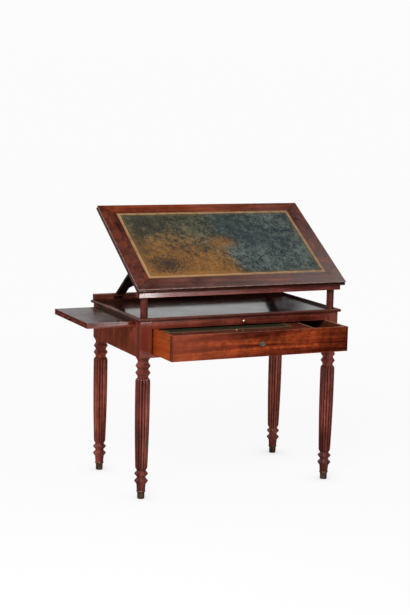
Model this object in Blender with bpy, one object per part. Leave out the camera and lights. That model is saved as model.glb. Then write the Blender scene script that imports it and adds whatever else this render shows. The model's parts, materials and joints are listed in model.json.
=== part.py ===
"""Mechanical writing table with a rising, tilting slope, built as its real pieces.

Metres, +Z up. The table is modelled about the middle of its four legs, in the open pose: drawer and
left slide pulled out, lift raised, slope tilted on its prop. One empty then sets the whole table so
that the middle of its box is over the origin.
"""

import math

import bmesh
import bpy
from mathutils import Matrix, Vector

# Fits between pieces, and how far a cutter runs past what it cuts
SEAT = 0.0003
RUN = 0.0005
OVERRUN = 0.050
ARC_STEPS = 8

# Legs: square block over a turned and reeded shaft
LEG_X = 0.420
LEG_Y = 0.232
BLOCK = 0.050
REEDS = 16
REED_DEPTH = 0.0021
NECK_R = 0.0208
RING_R = 0.0296
RING_HALF = 0.0085
RING_RISE = 0.0125
UPPER_RING_DROPS = (0.0364, 0.0648)
SHOULDER_DROP = 0.0935
SHAFT_TOP_R = 0.0296
SHAFT_BULGE = 0.0018
SHAFT_STATIONS = 6
SPIGOT = 0.005
SHAFT_LOW_R = 0.0245
SHAFT_FOOT_Z = 0.117
LOW_RING_R = 0.0275
LOW_RINGS = (0.1003, 0.0726)
LOW_NECK_R = 0.0178
FOOT_R = 0.0165
SABOT_H = 0.0336
SABOT_COLLAR = 0.0042
SABOT_R = 0.0150
SABOT_COLLAR_R = 0.0183
SABOT_WALL = 0.0026
SABOT_FLOOR = 0.007
LEG_SEGMENTS = 2 * REEDS

# Case
CASE_TOP = 0.720
CASE_H = 0.146
APRON = 0.020
TOP_RAIL = 0.018
BOTTOM_RAIL_H = 0.0132
BOTTOM_RAIL_D = 0.032

# Fixed top with a raised bead round it
TOP_THICK = 0.004
BEAD_H = 0.0132
BEAD_W = 0.012
BEAD_OUT = 0.010
REAR_RAIL_D = 0.024
REAR_RAIL_SET = 0.0218
REAR_RAIL_LAP = 0.006
RAIL_HALF = 0.452

# Lift: two posts and a rail
LIFT_REST = 0.079
POST_R = 0.015
POST_LEN = 0.154
POST_SEGMENTS = 24
LIFT_RAIL_H = 0.0195
LIFT_RAIL_FRONT = 0.2582
LIFT_RAIL_BACK = 0.216
BEAD_CLEAR = 0.0005

# Slope
SLOPE_HALF = 0.4655
SLOPE_LEN = 0.5434
SLOPE_THICK = 0.021
SLOPE_NOSE = 0.0105
SIDE_BORDER = 0.067
FRONT_BORDER = 0.068
BACK_BORDER = 0.056
CORE_THICK = 0.0065
LEATHER = 0.0012

# Butt hinges, rolled from strip round a pin
HINGE_R = 0.0024
PIN_R = 0.0011
LEAF_LEN = 0.022
HINGE_LEN = 0.060
KNUCKLE_GAP = 0.0004
HINGE_SEAT = HINGE_R + SEAT
HINGE_PROUD = 0.0018
KNUCKLES = 3
ROLL_OPEN = 10
PIN_SEGMENTS = 10
SLOPE_HINGE_X = 0.31

# Prop under the slope, and the cleat it leans on
PROP_LEAN = math.radians(37.0)
PROP_LEN = 0.342
PROP_HEAD_CLEAR = 0.02715
PROP_THICK = 0.010
PROP_LEFT = 0.3635
PROP_RIGHT = 0.3945
PROP_STILE = 0.0415
PROP_ARCH_H = 0.096
PROP_ARCH_R = 0.026
PROP_RAIL = 0.044
PROP_HEAD = 0.050
PROP_END = 0.010
PROP_HINGE_DROP = 0.0036
PROP_LEAF = 0.018
CLEAT_HALF = 0.24
CLEAT_DEEP = 0.016
CLEAT_DROP = 0.012

# Drawer
DRAWER_OUT = 0.172
DRAWER_FRONT = 0.020
DRAWER_SIDE = 0.012
DRAWER_PLAY = 0.005
DRAWER_DEPTH = 0.447
DRAWER_FLOOR = 0.006
DRAWER_FLOOR_RISE = 0.003
PARTITION_X = 0.257
PARTITION = 0.008
PANEL_DEPTH = 0.280
PANEL_THICK = 0.014
PANEL_TOP_DROP = 0.007
PANEL_SETBACK = 0.005
PANEL_BORDER = 0.062
PANEL_BACK_BORDER = 0.030
PANEL_LEFT_BORDER = 0.015
LEDGE = 0.008
RUNNER_LIP = 0.035
FENCE_H = 0.032

# Lock
PLATE_W = 0.030
PLATE_H = 0.018
PLATE_THICK = 0.0015
LOCK_W = 0.060
LOCK_D = 0.012
LOCK_LOW = 0.016
LOCK_TOP_DROP = 0.0035
BOLT_W = 0.016
BOLT_D = 0.0055
BOLT_H = 0.028

# Side slides
SLIDE_OUT = 0.196
SLIDE_LEN = 0.420
SLIDE_HALF = 0.1895
SLIDE_DROP = 0.0067
SLIDE_THICK = 0.0223
SLIDE_CLEAR = 0.002
TONGUE = 0.005
TONGUE_H = 0.0075
TONGUE_LEN = 0.140
GUIDE_THICK = 0.0102

# Knobs
KNOB_R = 0.0065
KNOB_NECK_R = 0.0029
KNOB_HEAD = 0.0055
KNOB_TIP_R = 0.0008
KNOB_OUT = 0.013
RELEASE_OUT = 0.019
SMALL_KNOB_R = 0.005
SMALL_KNOB_H = 0.006
SMALL_NECK_R = 0.0025
SMALL_NECK_H = 0.0024
SMALL_ROUND = 0.0012
PANEL_KNOB_X = -0.076
PANEL_KNOB_SET = 0.045
STEM_R = 0.0025
KNOB_SEGMENTS = 20

# Release bar, which bears on both posts
KNOB_DROP = 0.016
BAR_THICK = 0.006
BAR_H = 0.012
BAR_PAST_POST = 0.010

# Derived places
CASE_BOTTOM = CASE_TOP - CASE_H
UPPER_RINGS = [CASE_BOTTOM - drop for drop in UPPER_RING_DROPS]
SHOULDER_Z = CASE_BOTTOM - SHOULDER_DROP
BLOCK_IN_X = LEG_X - BLOCK / 2
BLOCK_IN_Y = LEG_Y - BLOCK / 2
CASE_X = LEG_X + BLOCK / 2
CASE_Y = LEG_Y + BLOCK / 2
TOP_LOW = CASE_TOP + SEAT
TOP_FACE = TOP_LOW + TOP_THICK
BEAD_TOP = TOP_LOW + BEAD_H
BEAD_X = CASE_X + BEAD_OUT
BEAD_Y = CASE_Y + BEAD_OUT
RAIL_LOW = BEAD_TOP + BEAD_CLEAR + LIFT_REST
RAIL_TOP = RAIL_LOW + LIFT_RAIL_H
HINGE_Y = -LIFT_RAIL_FRONT - HINGE_PROUD
HINGE_Z = RAIL_TOP + HINGE_SEAT
CLOSED_SLOPE_LOW = HINGE_Z - LIFT_REST + HINGE_SEAT
REAR_RAIL_TOP = CLOSED_SLOPE_LOW - SEAT
REAR_RAIL_FRONT = CASE_Y - REAR_RAIL_SET
PIVOT_Y = REAR_RAIL_FRONT - HINGE_SEAT
PIVOT_Z = REAR_RAIL_TOP - PROP_HINGE_DROP
SLIDE_TOP = CASE_TOP - SLIDE_DROP
SLIDE_LOW = SLIDE_TOP - SLIDE_THICK
KNOB_Z = CASE_TOP - KNOB_DROP
DRAWER_TOP_Z = SLIDE_LOW - SLIDE_CLEAR
DRAWER_LOW = CASE_BOTTOM + BOTTOM_RAIL_H + RUN
DRAWER_HIGH = DRAWER_TOP_Z - RUN
KEYHOLE_Z = (DRAWER_LOW + DRAWER_HIGH) / 2
DRAWER_HALF = BLOCK_IN_X - RUN - DRAWER_PLAY
BAR_FRONT = -LEG_Y + POST_R + SEAT

# The slope tilts until its core clears the head of the raised prop
CORE_LOW = HINGE_SEAT + SLOPE_THICK - LEATHER - SEAT - CORE_THICK
PROP_ALONG = Vector((-math.cos(PROP_LEAN), math.sin(PROP_LEAN)))
PROP_AWAY = Vector((math.sin(PROP_LEAN), math.cos(PROP_LEAN)))
PROP_FOOT = Vector((PIVOT_Y - HINGE_Y, PIVOT_Z - HINGE_Z))
PROP_TIP = PROP_FOOT + PROP_ALONG * PROP_LEN + PROP_AWAY * (SEAT - HINGE_SEAT)
TILT = math.atan2(PROP_TIP.y, PROP_TIP.x) - math.asin((CORE_LOW - PROP_HEAD_CLEAR) / PROP_TIP.length)

# The open table's reach each way, for the place of its middle
LEFT_REACH = CASE_X + SLIDE_OUT + KNOB_OUT
RIGHT_REACH = max(SLOPE_HALF, CASE_X + KNOB_OUT)
FRONT_REACH = CASE_Y + DRAWER_OUT + PLATE_THICK + SEAT
BACK_REACH = BEAD_Y
MIDDLE = ((LEFT_REACH - RIGHT_REACH) / 2, (FRONT_REACH - BACK_REACH) / 2, 0.0)

for stray in list(bpy.data.objects):
    bpy.data.objects.remove(stray, do_unlink=True)


def finish(name, colour, roughness, metallic=0.0):
    """A plain material in the colour that the piece shows."""
    material = bpy.data.materials.new(name)
    material.use_nodes = True
    shader = material.node_tree.nodes["Principled BSDF"]
    shader.inputs["Base Color"].default_value = (*colour, 1.0)
    shader.inputs["Roughness"].default_value = roughness
    shader.inputs["Metallic"].default_value = metallic
    return material


MAHOGANY = finish("mahogany", (0.16, 0.045, 0.022), 0.25)
OAK = finish("oak", (0.42, 0.22, 0.09), 0.55)
EBONISED = finish("ebonised", (0.02, 0.014, 0.012), 0.4)
LEATHER_GREEN = finish("green_leather", (0.05, 0.07, 0.045), 0.5)
BRASS = finish("brass", (0.70, 0.50, 0.22), 0.25, 1.0)
BRONZE = finish("bronze", (0.10, 0.07, 0.045), 0.45, 1.0)
IRON = finish("iron", (0.12, 0.12, 0.12), 0.5, 1.0)


def place(name, location, parent=None, turn=0.0):
    """An empty on a joint's axis, turned about X."""
    empty = bpy.data.objects.new(name, None)
    empty.location = location
    empty.rotation_euler.x = turn
    empty.parent = parent
    bpy.context.scene.collection.objects.link(empty)
    return empty


def add(name, mesh, material, parent):
    """Closes a bmesh into a named piece under its parent."""
    bmesh.ops.recalc_face_normals(mesh, faces=mesh.faces)
    data = bpy.data.meshes.new(name)
    mesh.to_mesh(data)
    mesh.free()
    data.materials.append(material)
    piece = bpy.data.objects.new(name, data)
    piece.parent = parent
    bpy.context.scene.collection.objects.link(piece)
    return piece


def box_mesh(low, high, mesh=None):
    """A box between two corners."""
    mesh = mesh or bmesh.new()
    size = [h - l for l, h in zip(low, high)]
    middle = [(h + l) / 2 for l, h in zip(low, high)]
    bmesh.ops.create_cube(mesh, size=1.0, matrix=Matrix.Translation(middle) @ Matrix.Diagonal((*size, 1.0)))
    return mesh


def box(name, low, high, material, parent):
    return add(name, box_mesh(low, high), material, parent)


AXES = {"X": (Vector((0, 1, 0)), Vector((0, 0, 1)), Vector((1, 0, 0))),
        "Y": (Vector((1, 0, 0)), Vector((0, 0, 1)), Vector((0, 1, 0))),
        "Z": (Vector((1, 0, 0)), Vector((0, 1, 0)), Vector((0, 0, 1)))}


def prism_mesh(outline, axis, start, end, mesh=None):
    """An outline in the plane across an axis, carried from start to end along it."""
    mesh = mesh or bmesh.new()
    across, up, along = AXES[axis]
    first = [mesh.verts.new(across * a + up * b + along * start) for a, b in outline]
    last = [mesh.verts.new(across * a + up * b + along * end) for a, b in outline]
    mesh.faces.new(first)
    mesh.faces.new(last)
    for i in range(len(first)):
        j = (i + 1) % len(first)
        mesh.faces.new((first[i], first[j], last[j], last[i]))
    return mesh


def prism(name, outline, axis, start, end, material, parent):
    return add(name, prism_mesh(outline, axis, start, end), material, parent)


def turned_mesh(stations, segments, place_at, axis=Vector((0, 0, 1)), mesh=None):
    """Rings of (height, radius, reed depth) along an axis, joined and capped."""
    mesh = mesh or bmesh.new()
    turn = Vector((0, 0, 1)).rotation_difference(axis).to_matrix().to_4x4()
    where = Matrix.Translation(place_at) @ turn
    rings = []
    for height, radius, reed in stations:
        ring = []
        for i in range(segments):
            angle = 2 * math.pi * i / segments
            r = radius - reed * (i % 2)
            ring.append(mesh.verts.new(where @ Vector((r * math.cos(angle), r * math.sin(angle), height))))
        rings.append(ring)
    for low, high in zip(rings, rings[1:]):
        for i in range(segments):
            j = (i + 1) % segments
            mesh.faces.new((low[i], low[j], high[j], high[i]))
    mesh.faces.new(rings[0])
    mesh.faces.new(rings[-1])
    return mesh


def arc(centre, radius, start, end, steps):
    """Points along an arc, angles in degrees."""
    points = []
    for i in range(steps + 1):
        angle = math.radians(start + (end - start) * i / steps)
        points.append((centre[0] + radius * math.cos(angle), centre[1] + radius * math.sin(angle)))
    return points


def combine(piece, tool_mesh, operation):
    """Cuts a tool out of a piece, or joins it on."""
    tool = add(f"{piece.name}_tool", tool_mesh, MAHOGANY, piece.parent)
    tool.hide_render = True
    tool.display_type = "WIRE"
    step = piece.modifiers.new(operation.lower(), "BOOLEAN")
    step.operation = operation
    step.object = tool
    step.solver = "EXACT"


def cut(piece, tool_mesh):
    combine(piece, tool_mesh, "DIFFERENCE")


def mirror_x(outline):
    return [(-a, b) for a, b in reversed(outline)]


SIDES = (("left", -1), ("right", 1))
table = place("table", MIDDLE)


# Legs and their metal feet
def shaft_radius(z):
    """The reeded shaft swells a little, then tapers to its foot."""
    share = (SHOULDER_Z - z) / (SHOULDER_Z - SHAFT_FOOT_Z)
    straight = SHAFT_TOP_R + (SHAFT_LOW_R - SHAFT_TOP_R) * share
    return straight + SHAFT_BULGE * math.sin(math.pi * share)


def leg_stations():
    rows = [(SABOT_FLOOR + SEAT, SABOT_R - SABOT_WALL - SEAT, 0.0),
            (SABOT_H, SABOT_R - SABOT_WALL - SEAT, 0.0),
            (SABOT_H, FOOT_R, 0.0)]
    for z in reversed(LOW_RINGS):
        rows += [(z - RING_RISE, LOW_NECK_R, 0.0), (z, LOW_RING_R, 0.0), (z + RING_RISE, LOW_NECK_R, 0.0)]
    rows.append((SHAFT_FOOT_Z - RING_HALF / 2, LOW_NECK_R, 0.0))
    for i in range(SHAFT_STATIONS):
        z = SHAFT_FOOT_Z + (SHOULDER_Z - RING_HALF / 2 - SHAFT_FOOT_Z) * i / (SHAFT_STATIONS - 1)
        rows.append((z, shaft_radius(z), REED_DEPTH))
    rows += [(SHOULDER_Z, SHAFT_TOP_R, 0.0), (SHOULDER_Z + RING_HALF, NECK_R, 0.0)]
    for z in reversed(UPPER_RINGS):
        rows += [(z - RING_RISE, NECK_R, 0.0), (z, RING_R, 0.0), (z + RING_RISE, NECK_R, 0.0)]
    rows.append((CASE_BOTTOM + SPIGOT, NECK_R, 0.0))
    return rows


for end, sy in (("front", -1), ("back", 1)):
    for side, sx in SIDES:
        x, y = sx * LEG_X, sy * LEG_Y
        half = BLOCK / 2
        leg = box(f"leg_{end}_{side}", (x - half, y - half, CASE_BOTTOM), (x + half, y + half, CASE_TOP),
                  MAHOGANY, table)
        combine(leg, turned_mesh(leg_stations(), LEG_SEGMENTS, (x, y, 0)), "UNION")
        if end == "front":
            bore_low = RAIL_LOW - POST_LEN - LIFT_REST - 2 * RUN
            bore = [(bore_low, POST_R + SEAT, 0), (CASE_TOP + OVERRUN, POST_R + SEAT, 0)]
            cut(leg, turned_mesh(bore, POST_SEGMENTS, (x, y, 0)))
            notch_in = sx * (BLOCK_IN_X - OVERRUN)
            notch_out = sx * (LEG_X + BAR_PAST_POST + RUN)
            cut(leg, box_mesh((min(notch_in, notch_out), BAR_FRONT - RUN, KNOB_Z - BAR_H / 2 - SEAT),
                              (max(notch_in, notch_out), y + OVERRUN, CASE_TOP + OVERRUN)))
        cup = [(0, SABOT_R - RUN, 0), (SABOT_H - SABOT_COLLAR - RUN, SABOT_R, 0),
               (SABOT_H - SABOT_COLLAR, SABOT_COLLAR_R, 0), (SABOT_H - SEAT, SABOT_COLLAR_R, 0)]
        sabot = add(f"sabot_{end}_{side}", turned_mesh(cup, KNOB_SEGMENTS, (x, y, 0)), BRONZE, table)
        bore = [(SABOT_FLOOR, SABOT_R - SABOT_WALL, 0), (SABOT_H + OVERRUN, SABOT_R - SABOT_WALL, 0)]
        cut(sabot, turned_mesh(bore, LEG_SEGMENTS, (x, y, 0)))

# Case rails
apron_y = BLOCK_IN_Y - SEAT
for side, sx in SIDES:
    inner, outer = sorted((sx * (CASE_X - APRON), sx * CASE_X))
    box(f"{side}_apron", (inner, -apron_y, CASE_BOTTOM), (outer, apron_y, SLIDE_LOW - RUN), MAHOGANY, table)
    box(f"{side}_slide_strip", (inner, -apron_y, SLIDE_TOP + RUN), (outer, apron_y, CASE_TOP), MAHOGANY, table)
rail_x = BLOCK_IN_X - SEAT
box("back_rail", (-rail_x, CASE_Y - APRON, CASE_BOTTOM), (rail_x, CASE_Y, CASE_TOP), MAHOGANY, table)
front_top_rail = box("front_top_rail", (-rail_x, -CASE_Y, DRAWER_TOP_Z), (rail_x, -CASE_Y + TOP_RAIL, CASE_TOP),
                     MAHOGANY, table)
stem_hole = [(-OVERRUN, STEM_R + SEAT, 0), (OVERRUN, STEM_R + SEAT, 0)]
cut(front_top_rail, turned_mesh(stem_hole, KNOB_SEGMENTS, (0, -CASE_Y, KNOB_Z), Vector((0, 1, 0))))
box("front_bottom_rail", (-rail_x, -CASE_Y, CASE_BOTTOM),
    (rail_x, -CASE_Y + BOTTOM_RAIL_D, CASE_BOTTOM + BOTTOM_RAIL_H), MAHOGANY, table)

# Runners under the drawer, each with a fence beside it. The left fence keeps the drawer to the right.
for side, sx in SIDES:
    lip, wall = BLOCK_IN_X - RUNNER_LIP, CASE_X - APRON - SEAT
    fence = BLOCK_IN_X - (1 - sx) * DRAWER_PLAY
    floor = DRAWER_LOW - SEAT
    outline = [(lip, CASE_BOTTOM), (wall, CASE_BOTTOM), (wall, CASE_BOTTOM + FENCE_H),
               (fence, CASE_BOTTOM + FENCE_H), (fence, floor), (lip, floor)]
    outline = outline if sx > 0 else mirror_x(outline)
    prism(f"drawer_runner_{side}", outline, "Y", -apron_y, apron_y, OAK, table)

# Grooved guides that carry the tongues of both side slides
groove_mid = SLIDE_LOW + SLIDE_THICK / 2
for end, sy in (("front", -1), ("back", 1)):
    near, far = SLIDE_HALF + SEAT, SLIDE_HALF + GUIDE_THICK
    groove_low = groove_mid - TONGUE_H / 2 - SEAT
    groove_high = groove_mid + TONGUE_H / 2 + SEAT
    depth = near + TONGUE
    outline = [(near, DRAWER_TOP_Z + RUN), (far, DRAWER_TOP_Z + RUN), (far, CASE_TOP), (near, CASE_TOP),
               (near, groove_high), (depth, groove_high), (depth, groove_low), (near, groove_low)]
    outline = [(sy * a, b) for a, b in outline]
    prism(f"slide_guide_{end}", outline, "X", -(CASE_X - APRON - SEAT), CASE_X - APRON - SEAT, OAK, table)

# Fixed top, its bead and the rest rail along its back edge
panel_x, panel_y = BEAD_X - BEAD_W - SEAT, BEAD_Y - BEAD_W - SEAT
top_panel = box("top_panel", (-panel_x, -panel_y, TOP_LOW), (panel_x, panel_y, TOP_FACE), MAHOGANY, table)
for side, sx in SIDES:
    hole = [(TOP_LOW - OVERRUN, POST_R + SEAT, 0), (TOP_FACE + OVERRUN, POST_R + SEAT, 0)]
    cut(top_panel, turned_mesh(hole, POST_SEGMENTS, (sx * LEG_X, -LEG_Y, 0)))


def bead_ring(name, section, half_x, half_y, material, parent):
    """A moulding run round a rectangle. The section is (inset from the outer edge, height)."""
    mesh = bmesh.new()
    corners = []
    for sx, sy in ((-1, -1), (1, -1), (1, 1), (-1, 1)):
        corners.append([mesh.verts.new((sx * (half_x - inset), sy * (half_y - inset), z))
                        for inset, z in section])
    for first, second in zip(corners, corners[1:] + corners[:1]):
        for i in range(len(section)):
            j = (i + 1) % len(section)
            mesh.faces.new((first[i], first[j], second[j], second[i]))
    return add(name, mesh, material, parent)


bead_r = BEAD_H / 2
bead_round = arc((bead_r, TOP_LOW + bead_r), bead_r, 270, 90, ARC_STEPS)
bead_section = [(BEAD_W, TOP_LOW)] + bead_round + [(BEAD_W, BEAD_TOP)]
bead_ring("top_bead", bead_section, BEAD_X, BEAD_Y, MAHOGANY, table)
rear_rail_low = TOP_FACE + SEAT
rear_rail_back = REAR_RAIL_FRONT + REAR_RAIL_D
step_y = min(rear_rail_back, panel_y)
outline = [(REAR_RAIL_FRONT, rear_rail_low), (step_y, rear_rail_low), (step_y, BEAD_TOP + SEAT),
           (rear_rail_back, BEAD_TOP + SEAT), (rear_rail_back, REAR_RAIL_TOP), (REAR_RAIL_FRONT, REAR_RAIL_TOP)]
rear_rail_half = BEAD_X - REAR_RAIL_LAP
rest_rail = prism("rear_rest_rail", outline, "X", -rear_rail_half, rear_rail_half, MAHOGANY, table)
for side, sx in SIDES:
    lap_x = sorted((sx * (panel_x - SEAT), sx * (rear_rail_half + OVERRUN)))
    cut(rest_rail, box_mesh((lap_x[0], REAR_RAIL_FRONT - OVERRUN, rear_rail_low - OVERRUN),
                            (lap_x[1], rear_rail_back + OVERRUN, BEAD_TOP + SEAT)))

# Lift: round posts in the front legs, and the rail on them
lift = place("lift", (0, 0, RAIL_LOW), table)
for side, sx in SIDES:
    rows = [(-POST_LEN, POST_R, 0), (-SEAT, POST_R, 0)]
    add(f"post_{side}", turned_mesh(rows, POST_SEGMENTS, (sx * LEG_X, -LEG_Y, 0)), MAHOGANY, lift)
box("lift_rail", (-RAIL_HALF, -LIFT_RAIL_FRONT, 0), (RAIL_HALF, -LIFT_RAIL_BACK, LIFT_RAIL_H), MAHOGANY, lift)


# Hinges: one leaf is rolled round the pin, the other holds the pin fast in its two outer knuckles.
# An outline's leaf lies along +a, on the -b side of the pin.
PIN_HOLE_R = PIN_R + SEAT


def rolled_outline(length):
    roll = arc((0, 0), HINGE_R, 270, ROLL_OPEN, ARC_STEPS) + arc((0, 0), PIN_HOLE_R, ROLL_OPEN, 270, ARC_STEPS)
    return [(length, -HINGE_R)] + roll + [(length, -PIN_HOLE_R)]


def pinned_outline(length):
    meet = math.degrees(math.asin(PIN_HOLE_R / HINGE_R))
    return [(length, -HINGE_R)] + arc((0, 0), HINGE_R, 270, -meet, ARC_STEPS) + [(length, -PIN_HOLE_R)]


def strip_outline(length):
    start = HINGE_R + 2 * RUN
    return [(start, -HINGE_R), (length, -HINGE_R), (length, -PIN_HOLE_R), (start, -PIN_HOLE_R)]


def rolled_leaf(name, centre, hinge_length, leaf_length, lay, parent):
    """The leaf with the middle knuckle. lay turns (a, b) to the piece's own (y, z)."""
    knuckle = hinge_length / KNUCKLES / 2
    outline = [lay(a, b) for a, b in strip_outline(leaf_length)]
    leaf = prism(name, outline, "X", centre - hinge_length / 2, centre + hinge_length / 2, BRASS, parent)
    outline = [lay(a, b) for a, b in rolled_outline(leaf_length - RUN)]
    combine(leaf, prism_mesh(outline, "X", centre - knuckle, centre + knuckle), "UNION")


def pinned_leaf(name, centre, hinge_length, leaf_length, lay, parent):
    """The leaf with the two outer knuckles and the pin."""
    knuckle, end = hinge_length / KNUCKLES / 2 + KNUCKLE_GAP, hinge_length / 2
    outline = [lay(a, b) for a, b in strip_outline(leaf_length)]
    leaf = prism(name, outline, "X", centre - end, centre + end, BRASS, parent)
    outline = [lay(a, b) for a, b in pinned_outline(leaf_length - RUN)]
    for sign in (-1, 1):
        start, stop = sorted((centre + sign * knuckle, centre + sign * (end - RUN)))
        combine(leaf, prism_mesh(outline, "X", start, stop), "UNION")
    pin = [(-end + 2 * RUN, PIN_R, 0), (end - 2 * RUN, PIN_R, 0)]
    combine(leaf, turned_mesh(pin, PIN_SEGMENTS, (centre, 0, 0), Vector((1, 0, 0))), "UNION")


slope_pin = place("slope_pin", (0, HINGE_Y, HINGE_Z - RAIL_LOW), lift)
for side, sx in SIDES:
    pinned_leaf(f"slope_hinge_{side}_lower_leaf", sx * SLOPE_HINGE_X, HINGE_LEN, LEAF_LEN,
                lambda a, b: (a, b), slope_pin)

# Slope, modelled flat about its hinge pin and turned up to its tilt
slope = place("slope", (0, HINGE_Y, HINGE_Z - RAIL_LOW), lift, TILT)
under, over = HINGE_SEAT, HINGE_SEAT + SLOPE_THICK
front_edge, back_edge = -SLOPE_NOSE, SLOPE_LEN - SLOPE_NOSE
front_in, back_in = front_edge + FRONT_BORDER, back_edge - BACK_BORDER
side_in = SLOPE_HALF - SIDE_BORDER


def border(name, corners):
    """One mitred member of the slope's frame."""
    return prism(name, corners, "Z", under, over, MAHOGANY, slope)


border("slope_front_border", [(-SLOPE_HALF + SEAT, front_edge), (SLOPE_HALF - SEAT, front_edge),
                              (side_in - SEAT, front_in), (-side_in + SEAT, front_in)])
border("slope_back_border", [(-side_in + SEAT, back_in), (side_in - SEAT, back_in),
                             (SLOPE_HALF - SEAT, back_edge), (-SLOPE_HALF + SEAT, back_edge)])
for side, sx in SIDES:
    corners = [(SLOPE_HALF, front_edge + SEAT), (SLOPE_HALF, back_edge - SEAT),
               (side_in, back_in - SEAT), (side_in, front_in + SEAT)]
    border(f"slope_{side}_border", corners if sx > 0 else mirror_x(corners))
field = ((-side_in + SEAT, front_in + SEAT), (side_in - SEAT, back_in - SEAT))
box("slope_core", (*field[0], CORE_LOW), (*field[1], over - LEATHER - SEAT), MAHOGANY, slope)
box("slope_leather", (*field[0], over - LEATHER), (*field[1], over), LEATHER_GREEN, slope)
for side, sx in SIDES:
    rolled_leaf(f"slope_hinge_{side}_upper_leaf", sx * SLOPE_HINGE_X, HINGE_LEN, LEAF_LEN,
                lambda a, b: (a, -b), slope)

# Cleat under the slope: its front face lies along the head of the prop
flatten = Matrix.Rotation(-TILT, 2)
head = flatten @ PROP_TIP
along = flatten @ PROP_ALONG


def on_head_face(height):
    """The place across the slope of the prop's back face at a height."""
    return head.x + along.x / along.y * (height - head.y)


cleat_low, cleat_high = head.y - CLEAT_DROP, CORE_LOW - SEAT
outline = [(on_head_face(cleat_low) + RUN, cleat_low), (on_head_face(cleat_low) + CLEAT_DEEP, cleat_low),
           (on_head_face(cleat_low) + CLEAT_DEEP, cleat_high), (on_head_face(cleat_high) + RUN, cleat_high)]
prism("prop_cleat", outline, "X", -CLEAT_HALF, CLEAT_HALF, MAHOGANY, slope)

# Prop, modelled level about its hinge pin, then raised
prop_hinge_x = {"left": PROP_STILE / 2 - PROP_LEFT, "right": PROP_RIGHT - PROP_STILE / 2}
prop_hinge_len = PROP_STILE - 4 * RUN
prop_pin = place("prop_pin", (0, PIVOT_Y, PIVOT_Z), table)
for side, sx in SIDES:
    pinned_leaf(f"prop_hinge_{side}_fixed_leaf", prop_hinge_x[side], prop_hinge_len, PROP_LEAF,
                lambda a, b: (-b, -a), prop_pin)
prop = place("prop", (0, PIVOT_Y, PIVOT_Z), table, -PROP_LEAN)
prop_over, prop_under = -HINGE_SEAT, -HINGE_SEAT - PROP_THICK
left_in, right_in = PROP_STILE - PROP_LEFT, PROP_RIGHT - PROP_STILE
arch_y = PROP_ARCH_R - PROP_ARCH_H
arch = ([(right_in, -PROP_END)] + arc((right_in - PROP_ARCH_R, arch_y), PROP_ARCH_R, 0, -90, ARC_STEPS)
        + arc((left_in + PROP_ARCH_R, arch_y), PROP_ARCH_R, 270, 180, ARC_STEPS) + [(left_in, -PROP_END)])
outline = arch + [(-PROP_LEFT, -PROP_END), (-PROP_LEFT, -PROP_LEN),
                  (PROP_RIGHT, -PROP_LEN), (PROP_RIGHT, -PROP_END)]
frame = prism("prop_frame", outline, "Z", prop_under, prop_over, EBONISED, prop)
cut(frame, box_mesh((left_in, -PROP_LEN + PROP_HEAD, prop_under - OVERRUN),
                    (right_in, -PROP_ARCH_H - PROP_RAIL, prop_over + OVERRUN)))
for side, sx in SIDES:
    rolled_leaf(f"prop_hinge_{side}_moving_leaf", prop_hinge_x[side], prop_hinge_len, PROP_LEAF,
                lambda a, b: (-a, b), prop)

# Drawer, modelled shut and drawn out by its empty
drawer = place("drawer", (DRAWER_PLAY, -DRAWER_OUT, 0), table)
front_back = -CASE_Y + DRAWER_FRONT
drawer_front = box("drawer_front", (-DRAWER_HALF, -CASE_Y, DRAWER_LOW), (DRAWER_HALF, front_back, DRAWER_HIGH),
                   MAHOGANY, drawer)
side_y0, side_y1 = front_back + SEAT, -CASE_Y + DRAWER_DEPTH
side_z = DRAWER_HIGH - RUN
inner_x = DRAWER_HALF - DRAWER_SIDE
panel_high = DRAWER_HIGH - PANEL_TOP_DROP
ledge_top = panel_high - PANEL_THICK - SEAT
ledge_low = ledge_top - LEDGE
outline = [(-DRAWER_HALF, DRAWER_LOW), (-inner_x, DRAWER_LOW), (-inner_x, ledge_low),
           (-inner_x + LEDGE, ledge_low + LEDGE / 2), (-inner_x + LEDGE, ledge_top), (-inner_x, ledge_top),
           (-inner_x, side_z), (-DRAWER_HALF, side_z)]
prism("drawer_left_side", outline, "Y", side_y0, side_y1, OAK, drawer)
box("drawer_right_side", (inner_x, side_y0, DRAWER_LOW), (DRAWER_HALF, side_y1, side_z), OAK, drawer)
back_y = side_y1 - DRAWER_SIDE
floor_low = DRAWER_LOW + DRAWER_FLOOR_RISE
box("drawer_back", (-inner_x + SEAT, back_y, floor_low + DRAWER_FLOOR + SEAT),
    (inner_x - SEAT, side_y1, ledge_low), OAK, drawer)
box("drawer_bottom", (-inner_x + SEAT, side_y0, floor_low), (inner_x - SEAT, side_y1, floor_low + DRAWER_FLOOR),
    OAK, drawer)
part_low, part_right = floor_low + DRAWER_FLOOR + SEAT, PARTITION_X + PARTITION / 2
part_left = PARTITION_X - PARTITION / 2
outline = [(part_left, part_low), (part_right, part_low), (part_right, panel_high), (part_left, panel_high),
           (part_left, ledge_top), (part_left - LEDGE, ledge_top), (part_left - LEDGE, ledge_low + LEDGE / 2),
           (part_left, ledge_low)]
prism("drawer_partition", outline, "Y", side_y0, back_y - SEAT, OAK, drawer)

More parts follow.
